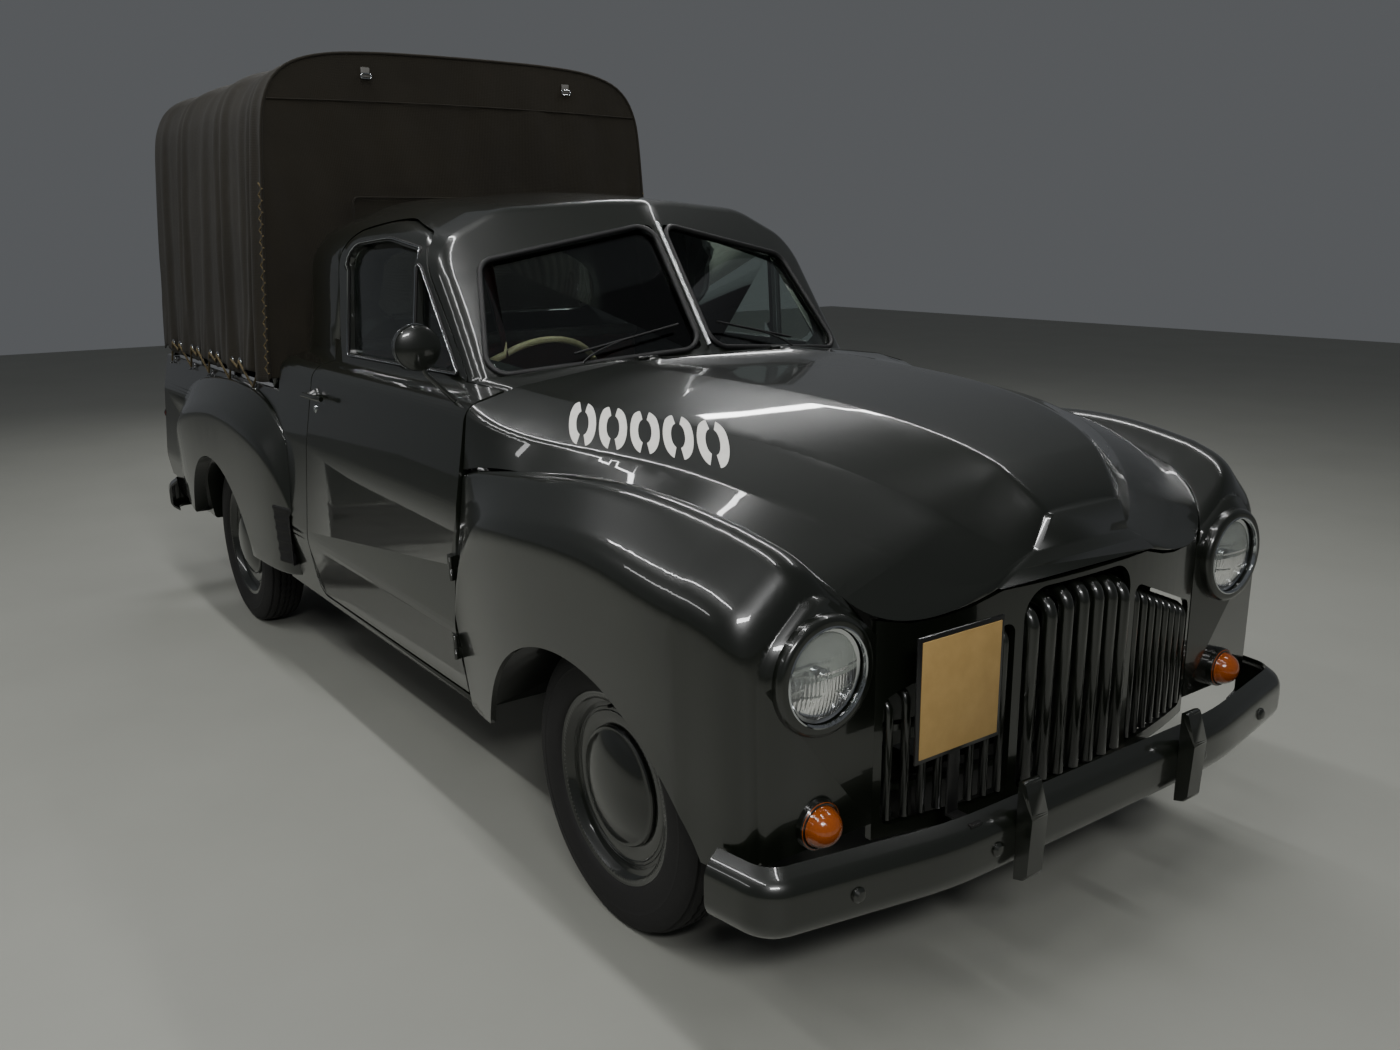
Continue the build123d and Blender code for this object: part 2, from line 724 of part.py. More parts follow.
def canopy():
    piece = canopy_form(0, CANOPY_FRONT_X, CANOPY_REAR_X, HEM_Z)
    return piece - canopy_form(CANVAS, CANOPY_FRONT_X - CANVAS, CANOPY_REAR_X - 10, HEM_Z)


def canopy_frame():
    """Four hoops that stand on the tray's rails, joined by three long bars."""
    pieces = []
    inset = CANVAS + HOOP_RADIUS + 3
    for x in HOOPS:
        foot = (748 + TRAY_INSIDE_Y) / 2
        path = [
            (x, -foot, TRAY_RAIL_Z + SEAT_FIT),
            (x, -foot, TRAY_RAIL_Z + 60),
            (x, -(726 - inset), 1800),
            (x, -(655 - inset), 2000 - inset),
            (x, 655 - inset, 2000 - inset),
            (x, 726 - inset, 1800),
            (x, foot, TRAY_RAIL_Z + 60),
            (x, foot, TRAY_RAIL_Z + SEAT_FIT),
        ]
        pieces.append(bent_rod(path, [80, 80, 90, 90, 80, 80], HOOP_RADIUS))
    hoops = pieces[0] + pieces[1:]
    for y in (-400, 0, 400):
        hoops += rod((HOOPS[0], y, 2000 - inset), (HOOPS[-1], y, 2000 - inset), HOOP_RADIUS - 3)
    return hoops


# Front end

def nose_apron():
    """The curved panel between the front fenders, open for the grille."""
    centre = NOSE_X - NOSE_ROUND
    wall = Plane(origin=(centre, 0, APRON_LOW)) * Cylinder(
        NOSE_ROUND, APRON_HIGH - APRON_LOW, align=(Align.CENTER, Align.CENTER, Align.MIN)
    )
    wall -= Plane(origin=(centre, 0, APRON_LOW)) * Cylinder(
        NOSE_ROUND - PANEL, APRON_HIGH - APRON_LOW, align=(Align.CENTER, Align.CENTER, Align.MIN)
    )
    front = [(225, APRON_HIGH, 0), (300, APRON_HIGH - 20, 0), (360, APRON_HIGH - 29, 0), (435, APRON_HIGH - 31, 0),
             (APRON_HALF, APRON_HIGH - 17, 0), (APRON_HALF, APRON_LOW, 0)]
    piece = wall & extrude(outline(at_x(300), both_sides(front)), amount=500)
    side = [(GRILLE_SIDE_IN, GRILLE_LOW, 20), (GRILLE_SIDE_OUT, GRILLE_LOW, 20), (GRILLE_SIDE_OUT, 625, 30),
            (GRILLE_SIDE_IN, 735, 20)]
    middle = [(-GRILLE_HALF, GRILLE_LOW, 20), (GRILLE_HALF, GRILLE_LOW, 20), (GRILLE_HALF, APRON_HIGH - 9, 60),
              (-GRILLE_HALF, APRON_HIGH - 9, 60)]
    cut = extrude(outline(at_x(300), side), amount=500)
    piece -= cut
    piece -= other_side(cut)
    piece -= extrude(outline(at_x(300), middle), amount=500)
    return piece


def apron_x(y):
    """X of the apron's outer face at a distance from the centre line."""
    return NOSE_X - NOSE_ROUND + math.sqrt(NOSE_ROUND**2 - y**2)


def grille():
    """Upright round-topped bars, seven in the middle and eight on each side, tied by cross rails."""
    pieces = []
    for i in range(MIDDLE_BARS):
        y = (i - (MIDDLE_BARS - 1) / 2) * 2 * GRILLE_HALF / MIDDLE_BARS
        top = 762 - 0.0012 * y * y
        x = apron_x(y) - 2
        pieces.append(bent_rod([(x, y, GRILLE_LOW + BAR_START), (x, y, top), (x - 50, y, top + 2)], [34], BAR_RADIUS))
    for side in (-1, 1):
        for i in range(SIDE_BARS):
            share = (i + 0.5) / SIDE_BARS
            y = side * (GRILLE_SIDE_IN + share * (GRILLE_SIDE_OUT - GRILLE_SIDE_IN))
            top = 718 - share * 110
            x = apron_x(y) - 8
            pieces.append(bent_rod([(x, y, GRILLE_LOW + BAR_START), (x, y, top), (x - 40, y, top + 2)], [26], SIDE_BAR_RADIUS))
    for z in (440, 560):
        ring = Plane(origin=(NOSE_X - NOSE_ROUND, 0, z)) * Cylinder(NOSE_ROUND - PANEL - SEAT_FIT, 12)
        ring -= Plane(origin=(NOSE_X - NOSE_ROUND, 0, z)) * Cylinder(NOSE_ROUND - PANEL - 18, 12)
        pieces.append(ring & block(300, 700, -GRILLE_SIDE_OUT, GRILLE_SIDE_OUT, z - 6, z + 6))
    whole = pieces.pop()
    whole += pieces
    return whole


# Bumpers

def bumper_blade(points, radii, z):
    """A crowned blade that follows a level path."""
    path = FilletPolyline(*[(x, y, z) for x, y in points], radius=radii)
    start = Plane(origin=path @ 0, x_dir=(path % 0).cross(Vector(0, 0, 1)), z_dir=path % 0)
    h = BUMPER_HALF_HEIGHT
    t = BUMPER_PLATE
    rows = [(-30, -h, 0), (6, -h * 0.62, 45), (6, h * 0.62, 45), (-30, h, 0), (-30, h - t, 0), (6 - t, h * 0.6, 12),
            (6 - t, -h * 0.6, 12), (-30, -h + t, 0)]
    return sweep(outline(start, rows), path=path)


def overrider(x, forward):
    rows = [(0, -78, 0), (forward * 30, -70, 16), (forward * 36, 60, 30), (forward * 14, 126, 8), (0, 120, 0)]
    face = outline(Plane(origin=(x, -22, BUMPER_Z), x_dir=(1, 0, 0), z_dir=(0, -1, 0)), rows)
    return extrude(face, amount=-44)


def front_bumper():
    points = [(478, -838), (610, -815), (BUMPER_X - 6, -420), (BUMPER_X - 6, 420), (610, 815), (478, 838)]
    piece = bumper_blade(points, [85, 900, 900, 85], BUMPER_Z)
    irons = (RAIL_IN + RAIL_OUT) / 2
    rear = BUMPER_X - BUMPER_PLATE - SEAT_FIT
    solids = []
    for side in (-1, 1):
        y = side * irons
        solids.append(Pos(0, side * OVERRIDER_Y, 0) * overrider(BUMPER_X + SEAT_FIT, 1))
        solids.append(block(RAIL_END_X - 60, rear, y - 20, y + 20, RAIL_LOW - 18, RAIL_LOW - SEAT_FIT))
    return piece + solids


def rear_bumper():
    rear = REAR_AXLE_X - REAR_OVERHANG
    points = [(-3440, 826), (-3560, 806), (rear + 42, 430), (rear + 42, -430), (-3560, -806), (-3440, -826)]
    piece = bumper_blade(points, [80, 900, 900, 80], BUMPER_Z + 10)
    inner = rear + 42 - 6 + BUMPER_PLATE + SEAT_FIT
    solids = []
    for side in (-1, 1):
        y = side * 400
        solids.append(Pos(0, side * OVERRIDER_Y, 10) * overrider(rear + 36 - SEAT_FIT, -1))
        iron = block(inner, -3470, y - 20, y + 20, BUMPER_Z - 10, BUMPER_Z + 30)
        iron += block(-3500, -3470, y - 20, y + 20, BUMPER_Z - 10, TRAY_FLOOR_Z - FLOOR_PLATE - SEAT_FIT)
        solids.append(iron)
    return piece + solids


# Lamps

def facing(x, y, z, direction):
    """A plane that faces forward (1) or back (-1)."""
    return Plane(origin=(x, y, z), x_dir=(0, 1, 0), z_dir=(direction, 0, 0))


def both_lamps(shape, y):
    return Pos(0, y, 0) * shape + [Pos(0, -y, 0) * shape]


def headlamp_rims():
    ring = facing(LAMP_X + PANEL, 0, LAMP_Z, 1) * (
        Cylinder(BEZEL_RADIUS, 22, align=(Align.CENTER, Align.CENTER, Align.MIN))
        - Cylinder(LENS_RADIUS, 22, align=(Align.CENTER, Align.CENTER, Align.MIN))
    )
    ring = fillet(ring.edges().filter_by(GeomType.CIRCLE).group_by(Axis.X)[-1].sort_by(SortBy.RADIUS)[-1], 12)
    return both_lamps(ring, LAMP_Y)


def headlamp_lenses():
    """Domed lenses; rows are distance ahead of the fender, radius and corner radius."""
    r = LENS_RADIUS - GLASS_FIT
    rows = [(0, 0, 0), (0, r, 0), (8, r, 0), (21, r * 0.6, 60), (25, 0, 0)]
    face = outline(Plane(origin=(LAMP_X + PANEL, 0, LAMP_Z), x_dir=(1, 0, 0), z_dir=(0, -1, 0)), rows)
    dome = revolve(face, axis=Axis((LAMP_X, 0, LAMP_Z), (1, 0, 0)))
    return both_lamps(dome, LAMP_Y)


def turn_lamps():
    base = facing(LAMP_X + PANEL, 0, TURN_Z, 1) * Cylinder(TURN_RADIUS + 6, 14, align=(Align.CENTER, Align.CENTER, Align.MIN))
    dome = Pos(LAMP_X + PANEL + 14, 0, TURN_Z) * Sphere(TURN_RADIUS)
    dome &= facing(LAMP_X + PANEL + 14, 0, TURN_Z, 1) * Cylinder(60, 60, align=(Align.CENTER, Align.CENTER, Align.MIN))
    return both_lamps(base + dome, TURN_Y)


def tail_lamps():
    """Small domed lamps on the rear ends of the tray's sides."""
    rear = TRAY_REAR_X - SEAT_FIT
    base = facing(rear, 0, 700, -1) * Cylinder(24, 12, align=(Align.CENTER, Align.CENTER, Align.MIN))
    dome = Pos(rear - 12, 0, 700) * Sphere(22)
    dome &= facing(rear - 12, 0, 700, -1) * Cylinder(50, 50, align=(Align.CENTER, Align.CENTER, Align.MIN))
    return both_lamps(base + dome, 762)


# Inside and below

def floor_pan():
    inside = lower_body(CAB_WALL + SEAT_FIT, FIREWALL_X - FIREWALL, CAB_REAR_X + CAB_WALL, BODY_BOTTOM - CAB_WALL)
    plate = inside & block(-2100, -400, -900, 900, FLOOR_Z - FLOOR_PLATE, FLOOR_Z)
    tunnel = block(FIREWALL_X - FIREWALL, CAB_REAR_X + CAB_WALL, -TUNNEL_HALF, TUNNEL_HALF, FLOOR_Z - 4, TUNNEL_Z)
    inner = TUNNEL_HALF - FLOOR_PLATE
    hollow = block(-400, -2200, -inner, inner, 200, TUNNEL_Z - FLOOR_PLATE)
    return plate + tunnel - hollow


def front_rails():
    """The two rails and cross tube that carry the engine, suspension and bumper."""
    back = FIREWALL_X + SEAT_FIT
    piece = block(back, RAIL_END_X, -RAIL_OUT, -RAIL_IN, RAIL_LOW, RAIL_HIGH)
    piece += block(back, RAIL_END_X, RAIL_IN, RAIL_OUT, RAIL_LOW, RAIL_HIGH)
    piece += block(RAIL_END_X - 30, RAIL_END_X, -RAIL_OUT, RAIL_OUT, RAIL_LOW, RAIL_HIGH)
    return piece


def engine():
    piece = block(-420, 230, -170, 170, RAIL_LOW, 800)
    piece += rod((-420, 0, 330), (-1050, 0, 330), 60)
    return piece


def rear_axle():
    z = TYRE_RADIUS
    piece = rod((REAR_AXLE_X, -640, z), (REAR_AXLE_X, 640, z), 38)
    piece += Pos(REAR_AXLE_X, 0, z) * Sphere(125)
    for side in (-1, 1):
        piece += rod((REAR_AXLE_X, side * 600, z), (REAR_AXLE_X, side * (TRACK_REAR / 2 + 24), z), STUB_RADIUS)
        piece += rod((REAR_AXLE_X, side * 636, z), (REAR_AXLE_X, side * (TRACK_REAR / 2 - 26), z), 105)
    piece += rod((REAR_AXLE_X, 0, z), (-1050 - SEAT_FIT, 0, z), 32)
    return piece


def leaf_springs():
    """Two leaf springs over the axle tube, hung from the tray by their eyes."""
    rows = [(REAR_AXLE_X - 620, 470, 0), (REAR_AXLE_X, 352.3, 1500), (REAR_AXLE_X + 620, 470, 0),
            (REAR_AXLE_X + 620, 490, 0), (REAR_AXLE_X, 385, 1500), (REAR_AXLE_X - 620, 490, 0)]
    leaf = extrude(outline(at_y(500), rows), amount=-50)
    for x in (REAR_AXLE_X - 600, REAR_AXLE_X + 600):
        leaf += block(x - 20, x + 20, 505, 545, 470, TRAY_FLOOR_Z - FLOOR_PLATE)
    return leaf + [other_side(leaf)]


def fuel_tank():
    return block(-3450, -3120, -330, 330, 400, TRAY_FLOOR_Z - FLOOR_PLATE)


def exhaust():
    """Pipe and silencer hung under the cab floor."""
    z = FLOOR_Z - FLOOR_PLATE - 68
    piece = rod((-250, 250, z), (-1900, 250, z), 20) + rod((-1150, 250, z), (-1650, 250, z), 55)
    piece += rod((-262, 250, z), (-262, 188, 430), 18)
    for x in (-1000, -1750):
        piece += rod((x, 250, z), (x, 250, FLOOR_Z - FLOOR_PLATE - SEAT_FIT), 7)
    return piece


def cab_seat():
    cushion = block(-1830, -1320, -560, 560, 470, 640)
    cushion = fillet(cushion.edges().filter_by(Axis.Y), 40)
    base = block(-1800, -1360, -520, 520, FLOOR_Z + SEAT_FIT, 470)
    base -= block(-1900, -1300, -TUNNEL_HALF - SEAT_FIT, TUNNEL_HALF + SEAT_FIT, FLOOR_Z, TUNNEL_Z + SEAT_FIT)
    rear = -1830 - SEAT_FIT
    rows = [(rear, 480, 0), (rear, 655, 0), (-1802, 668, 12), (-1790, 1000, 60), (-1870, 1120, 40),
            (-1935, 1100, 30), (-1920, 480, 20)]
    back = extrude(outline(at_y(-560), rows), amount=-1120)
    return cushion + base + back


def dashboard():
    wall = FIREWALL_X - FIREWALL - SEAT_FIT
    rows = [(wall, 1030, 0), (-860, 1015, 30), (-850, 880, 20), (-800, 880, 0), (-790, 990, 0), (wall, 1000, 0)]
    piece = extrude(outline(at_y(-DASH_HALF), rows), amount=-2 * DASH_HALF)
    return piece - steering_column(SEAT_FIT)


def steering_column(grow):
    """The column from the wheel to the firewall, drawn thicker by a clearance."""
    lean = math.radians(STEER_LEAN)
    x, y, z = WHEEL_CENTRE
    reach = (FIREWALL_X - FIREWALL - SEAT_FIT - x) / math.cos(lean) - COLUMN_RADIUS * math.tan(lean)
    end = (x + reach * math.cos(lean), y, z - reach * math.sin(lean))
    return rod(WHEEL_CENTRE, end, COLUMN_RADIUS + grow)


def steering_wheel():
    lean = math.radians(STEER_LEAN)
    plane = Plane(origin=WHEEL_CENTRE, x_dir=(0, 1, 0), z_dir=(-math.cos(lean), 0, math.sin(lean)))
    piece = plane * Torus(STEER_RADIUS, 9) + plane * Cylinder(30, 40)
    piece += plane * Box(2 * STEER_RADIUS, 22, 8)
    return piece + steering_column(0)


# Doors

def door_parts(side, shell, layer):
    """A door and its two glasses for the right (-1) or left (1) side."""
    panel = shell & door_form(side, 0)
    panel -= tilted_prism(side, glass_rows(0), FRAME_INNER_Y)
    panel -= tilted_prism(side, vent_rows(0), FRAME_INNER_Y)
    drop = layer & tilted_prism(side, glass_rows(GLASS_FIT), FRAME_INNER_Y)
    vent = layer & tilted_prism(side, vent_rows(GLASS_FIT), FRAME_INNER_Y)
    return panel, drop + [vent]


def mirror_arm():
    stalk = bent_rod([(-690, -715, 1050), (-705, -785, 1125), (-715, -800, 1180)], [20], 6)
    head = Plane(origin=(-715, -800, 1188), x_dir=(0, 1, 0), z_dir=(1, -0.15, 0)) * Cylinder(55, 24)
    return stalk + head - lower_body(-SEAT_FIT, DOOR_FRONT_X, -1000, BODY_BOTTOM)


def export(pieces):
    """Write every piece with the origin under the middle of the length."""
    middle = (FRONT_OVERHANG - WHEELBASE - REAR_OVERHANG) / 2
    os.makedirs("parts", exist_ok=True)
    for name, piece in pieces.items():
        export_step(Pos(-middle, 0, 0) * piece, f"parts/{name}.step")


def build():
    pieces = {}
    whole, inside = cab_forms()
    layer = glass_layer()
    closed = whole - inside
    shell = closed
    notches = []
    for side, name in ((-1, "right"), (1, "left")):
        door, glass = door_parts(side, closed, layer)
        shell -= door_form(side, PANEL_GAP)
        shell -= block(-870, -1647, side * 520, side * 700, 1000, 1095)
        fixed, moving, notch = door_hinges(side)
        for cut in notch:
            door -= cut
        for half in moving:
            door += half
        for half in fixed:
            shell += half
        notches += notch
        pieces[f"door_{name}"] = door
        pieces[f"door_glass_{name}"] = glass
    panes = []
    for side in (-1, 1):
        shell -= extrude(screen_opening(side, 0), amount=120, both=True)
        pane = extrude(screen_opening(side, GLASS_FIT), amount=GLASS, dir=screen_plane(side, 0).z_dir * -1)
        panes.append(pane.moved(Location(screen_plane(side, 0).z_dir * -GLASS_DEPTH)))
    pieces["windscreen"] = panes[0] + [panes[1]]
    shell -= extrude(rear_window_cut(0), amount=120, both=True)
    pane = extrude(rear_window_cut(GLASS_FIT), amount=GLASS, dir=rear_plane(0).z_dir * -1)
    pieces["rear_window"] = pane.moved(Location(rear_plane(0).z_dir * -GLASS_DEPTH))
    shell -= block(FIREWALL_X + 5, FIREWALL_X - 20, -TUNNEL_HALF, TUNNEL_HALF, 200, TUNNEL_Z)
    shell -= block(CAB_REAR_X - 5, CAB_REAR_X + 60, -TUNNEL_HALF, TUNNEL_HALF, 200, TUNNEL_Z)
    for y in BONNET_HINGE_Y:
        shell += bonnet_hinge(y, -1)
    pieces["cab_shell"] = shell
    pieces["floor_pan"] = floor_pan()

    lid = bonnet()
    for y in BONNET_HINGE_Y:
        lid += bonnet_hinge(y, 1)
    pieces["bonnet"] = lid
    fender = front_fender()
    for cut in notches:
        fender -= cut
    pieces["front_fender_left"] = fender
    pieces["front_fender_right"] = other_side(fender)
    bay = engine_bay_side()
    pieces["engine_bay_sides"] = bay + [other_side(bay)]
    pieces["nose_apron"] = nose_apron()
    pieces["grille"] = grille()
    pieces["front_bumper"] = front_bumper()
    pieces["headlamp_rims"] = headlamp_rims()
    pieces["headlamp_lenses"] = headlamp_lenses()
    pieces["turn_lamps"] = turn_lamps()

    pieces["tray_body"] = tray_body()
    fender = rear_fender()
    pieces["rear_fender_left"] = fender
    pieces["rear_fender_right"] = other_side(fender)
    pieces["tailgate"] = tailgate()
    pieces["rear_bumper"] = rear_bumper()
    pieces["tail_lamps"] = tail_lamps()
    pieces["canopy"] = canopy()
    pieces["canopy_frame"] = canopy_frame()

    for name, x, track in (("front", 0, TRACK_FRONT), ("rear", REAR_AXLE_X, TRACK_REAR)):
        tread = tyre(x, track / 2)
        rim = wheel(x, track / 2)
        pieces[f"tyre_{name}_left"] = tread
        pieces[f"tyre_{name}_right"] = other_side(tread)
        pieces[f"wheel_{name}_left"] = rim
        pieces[f"wheel_{name}_right"] = other_side(rim)
    upright = knuckle()
    pieces["knuckle_left"] = upright
    pieces["knuckle_right"] = other_side(upright)
    pieces["front_suspension"] = front_suspension()
    pieces["front_rails"] = front_rails()
    pieces["rear_axle"] = rear_axle()
    pieces["leaf_springs"] = leaf_springs()
    pieces["engine"] = engine()
    pieces["fuel_tank"] = fuel_tank()
    pieces["exhaust"] = exhaust()
    pieces["cab_seat"] = cab_seat()
    pieces["dashboard"] = dashboard()
    pieces["steering_wheel"] = steering_wheel()
    pieces["mirror_right"] = mirror_arm()
    export(pieces)


build()
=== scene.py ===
# %% [markdown]
# An army coupe utility of the early 1950s: a rounded steel cab, a well-side tray and a tall canvas canopy.
# The solid model already gives every panel, wheel and hinge its place, so it is loaded as a fixed frame.
# This lesson then adds what is too thin, too soft or too fine to cut from solid, and the finishes.

# %% Load the frame
import bmesh
import bpy
import json
import math
import random
from mathutils import Matrix, Vector
from mathutils.bvhtree import BVHTree

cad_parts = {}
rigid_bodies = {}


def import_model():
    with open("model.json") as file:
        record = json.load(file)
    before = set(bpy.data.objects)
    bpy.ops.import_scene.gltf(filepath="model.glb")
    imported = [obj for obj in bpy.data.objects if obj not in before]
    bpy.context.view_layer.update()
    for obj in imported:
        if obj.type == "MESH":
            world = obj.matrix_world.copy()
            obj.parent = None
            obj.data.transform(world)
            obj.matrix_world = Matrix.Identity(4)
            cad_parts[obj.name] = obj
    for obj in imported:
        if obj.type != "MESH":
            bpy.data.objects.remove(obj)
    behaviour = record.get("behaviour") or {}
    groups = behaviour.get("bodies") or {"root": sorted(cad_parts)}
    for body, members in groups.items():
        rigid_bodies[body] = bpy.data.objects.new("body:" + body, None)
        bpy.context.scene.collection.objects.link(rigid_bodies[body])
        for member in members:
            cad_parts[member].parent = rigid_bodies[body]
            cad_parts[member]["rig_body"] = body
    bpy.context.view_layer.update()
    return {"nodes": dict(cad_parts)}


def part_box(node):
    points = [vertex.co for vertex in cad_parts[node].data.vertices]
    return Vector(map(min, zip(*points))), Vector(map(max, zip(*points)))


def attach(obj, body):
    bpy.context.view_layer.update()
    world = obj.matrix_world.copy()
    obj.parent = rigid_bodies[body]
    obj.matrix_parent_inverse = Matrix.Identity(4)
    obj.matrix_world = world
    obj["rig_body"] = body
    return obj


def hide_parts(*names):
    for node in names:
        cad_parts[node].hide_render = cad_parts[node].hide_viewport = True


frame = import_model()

# %% [markdown]
# The drawings of a vehicle are measured from the front axle, so places here are too. One function turns a
# place in millimetres ahead of that axle, left of the middle and above the ground into the frame's metres.

# %% Places in millimetres
MM = 0.001
SIDES = ((-1, "right"), (1, "left"))
ALONG_X, ALONG_Y, UP = Vector((1, 0, 0)), Vector((0, 1, 0)), Vector((0, 0, 1))
wheel_low, wheel_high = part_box("wheel_front_right")
AXLE_X = (wheel_low.x + wheel_high.x) / 2


def place(x, y, z):
    """A point of the frame, in metres, from the drawing's millimetres."""
    return Vector((AXLE_X + x * MM, y * MM, z * MM))


# %% [markdown]
# The photographer stood ahead of the right front corner at eye height and looked slightly down. A camera is
# set from its place, its three angles and the lens that gives the same framing.

# %% Camera
CAMERA_PLACE = place(1951, -1916, 1449)
SENSOR, FOCAL = 36.0, 30.33
YAW, PITCH, ROLL = (math.radians(angle) for angle in (143.95, 13.99, -0.55))

ahead = Vector((math.cos(PITCH) * math.cos(YAW), math.cos(PITCH) * math.sin(YAW), -math.sin(PITCH)))
level = ahead.cross(UP).normalized()
upward = level.cross(ahead)
across = level * math.cos(ROLL) + upward * math.sin(ROLL)
top = upward * math.cos(ROLL) - level * math.sin(ROLL)

lens = bpy.data.cameras.new("eye_height")
lens.sensor_width, lens.lens = SENSOR, FOCAL
camera = bpy.data.objects.new("eye_height", lens)
turn = Matrix((across, top, -ahead)).transposed().to_4x4()
camera.matrix_world = Matrix.Translation(CAMERA_PLACE) @ turn
bpy.context.scene.collection.objects.link(camera)
bpy.context.scene.camera = camera
print("camera", [round(v, 3) for v in camera.location])

# %% [markdown]
# Colours are easiest to choose as sRGB hex values, but shaders work in linear light. One function converts,
# and one more adds a shader node with its settings and links, so every material below reads as a recipe.

# %% Colour and node helpers


def linear(code):
    """An sRGB hex colour in linear light."""
    parts = [int(code[i:i + 2], 16) / 255 for i in (1, 3, 5)]
    return [c / 12.92 if c <= 0.04045 else ((c + 0.055) / 1.055) ** 2.4 for c in parts] + [1.0]


def add(tree, kind, inputs=None, **settings):
    """A new node; an input given another node's socket is linked, and any other value is set."""
    item = tree.nodes.new(kind)
    for name, value in settings.items():
        setattr(item, name, value)
    for name, value in (inputs or {}).items():
        if isinstance(value, bpy.types.NodeSocket):
            tree.links.new(value, item.inputs[name])
        else:
            item.inputs[name].default_value = value
    return item


def two_tones(tree, shader, mask, dark, light):
    """Two colours share the surface by a noise; the mixed colour's socket is returned."""
    tone = add(tree, "ShaderNodeMix", {0: mask.outputs["Fac"], 6: linear(dark), 7: linear(light)},
               data_type="RGBA")
    tree.links.new(tone.outputs[2], shader.inputs["Base Color"])
    return tone.outputs[2]


def new_finish(name, values):
    """A material, its node tree and its shader, with constant values set on the shader's own sockets."""
    material = bpy.data.materials.new(name)
    material.use_nodes = True
    shader = material.node_tree.nodes["Principled BSDF"]
    for socket, value in values.items():
        shader.inputs[socket].default_value = value
    return material, material.node_tree, shader


# %% [markdown]
# Alkyd enamel was sprayed over primer and polished, which gives a deep wet gloss with a faint orange peel.
# Two near-black olives drift into each other over a metre or so, and a clear coat carries the reflections.
# The peel is about 1 mm on the real car and is drawn at 4 mm so that it shows.

# %% Sprayed enamel


def enamel(name, dark, light, roughness, coat):
    """A sprayed paint with a drift of tone, dust and orange peel."""
    material, tree, shader = new_finish(name, {
        "Roughness": roughness, "Coat Weight": coat, "Coat Roughness": 0.03, "IOR": 1.5,
    })
    spot = add(tree, "ShaderNodeTexCoord").outputs["Object"]
    drift = add(tree, "ShaderNodeTexNoise", {"Vector": spot, "Scale": 1.6, "Detail": 3.0})
    dust = add(tree, "ShaderNodeTexNoise", {"Vector": spot, "Scale": 38.0, "Detail": 6.0, "Roughness": 0.7})
    two_tones(tree, shader, drift, dark, light)
    peel = add(tree, "ShaderNodeTexNoise", {"Vector": spot, "Scale": 250.0, "Detail": 1.0})
    both = add(tree, "ShaderNodeMath", {0: peel.outputs["Fac"], 1: dust.outputs["Fac"]}, operation="ADD")
    bump = add(tree, "ShaderNodeBump",
               {"Strength": 0.04, "Distance": 0.0006, "Height": both.outputs["Value"]})
    tree.links.new(bump.outputs["Normal"], shader.inputs["Normal"])
    return material


olive_enamel = enamel("sprayed_olive_enamel", "#0a0d08", "#12160e", 0.3, 1.0)
satin_black = enamel("satin_black_chassis_paint", "#0d0d0d", "#191918", 0.5, 0.1)
engine_enamel = enamel("engine_grey_enamel", "#2c302c", "#3a3e38", 0.5, 0.2)

# %% [markdown]
# The canopy is proofed cotton duck: a plain weave of thick threads, dull and slightly waxy, a dark olive
# brown that has faded in patches. The weave is drawn at 5 mm, several times its real spacing, so that it
# shows. It follows the cloth's own map, in metres, so that the threads run with the folds.

# %% Woven canvas and rope
CANVAS_THREAD = 0.005
# A band texture repeats every pi / 10 of its scaled length
WEAVE_SCALE = math.pi / (10 * CANVAS_THREAD)


def duck_canvas(name, dark, light):
    """The woven finish of the canopy."""
    material, tree, shader = new_finish(name, {
        "Roughness": 0.85, "Sheen Weight": 0.06, "Sheen Roughness": 0.6, "Specular IOR Level": 0.25,
    })
    cloth = add(tree, "ShaderNodeUVMap", uv_map="cloth").outputs["UV"]
    spot = add(tree, "ShaderNodeTexCoord").outputs["Object"]
    bands = {"Vector": cloth, "Scale": WEAVE_SCALE, "Distortion": 0.6}
    warp = add(tree, "ShaderNodeTexWave", bands, bands_direction="X")
    weft = add(tree, "ShaderNodeTexWave", bands, bands_direction="Y")
    weave = add(tree, "ShaderNodeMath", {0: warp.outputs["Fac"], 1: weft.outputs["Fac"]},
                operation="MULTIPLY")
    fade = add(tree, "ShaderNodeTexNoise", {"Vector": spot, "Scale": 3.2, "Detail": 8.0, "Roughness": 0.62})
    tone = two_tones(tree, shader, fade, dark, light)
    thread = add(tree, "ShaderNodeMix", {
        0: weave.outputs["Value"], 6: (0.72, 0.72, 0.72, 1), 7: (1.1, 1.1, 1.1, 1)}, data_type="RGBA")
    colour = add(tree, "ShaderNodeMix", {0: 1.0, 6: tone, 7: thread.outputs[2]},
                 data_type="RGBA", blend_type="MULTIPLY")
    tree.links.new(colour.outputs[2], shader.inputs["Base Color"])
    crease = add(tree, "ShaderNodeTexNoise", {"Vector": spot, "Scale": 14.0, "Detail": 5.0})
    height = add(tree, "ShaderNodeMath", {0: crease.outputs["Fac"], 1: 6.0}, operation="MULTIPLY")
    total = add(tree, "ShaderNodeMath", {0: height.outputs["Value"], 1: weave.outputs["Value"]},
                operation="ADD")
    bump = add(tree, "ShaderNodeBump",
               {"Strength": 0.5, "Distance": 0.0012, "Height": total.outputs["Value"]})
    tree.links.new(bump.outputs["Normal"], shader.inputs["Normal"])
    return material


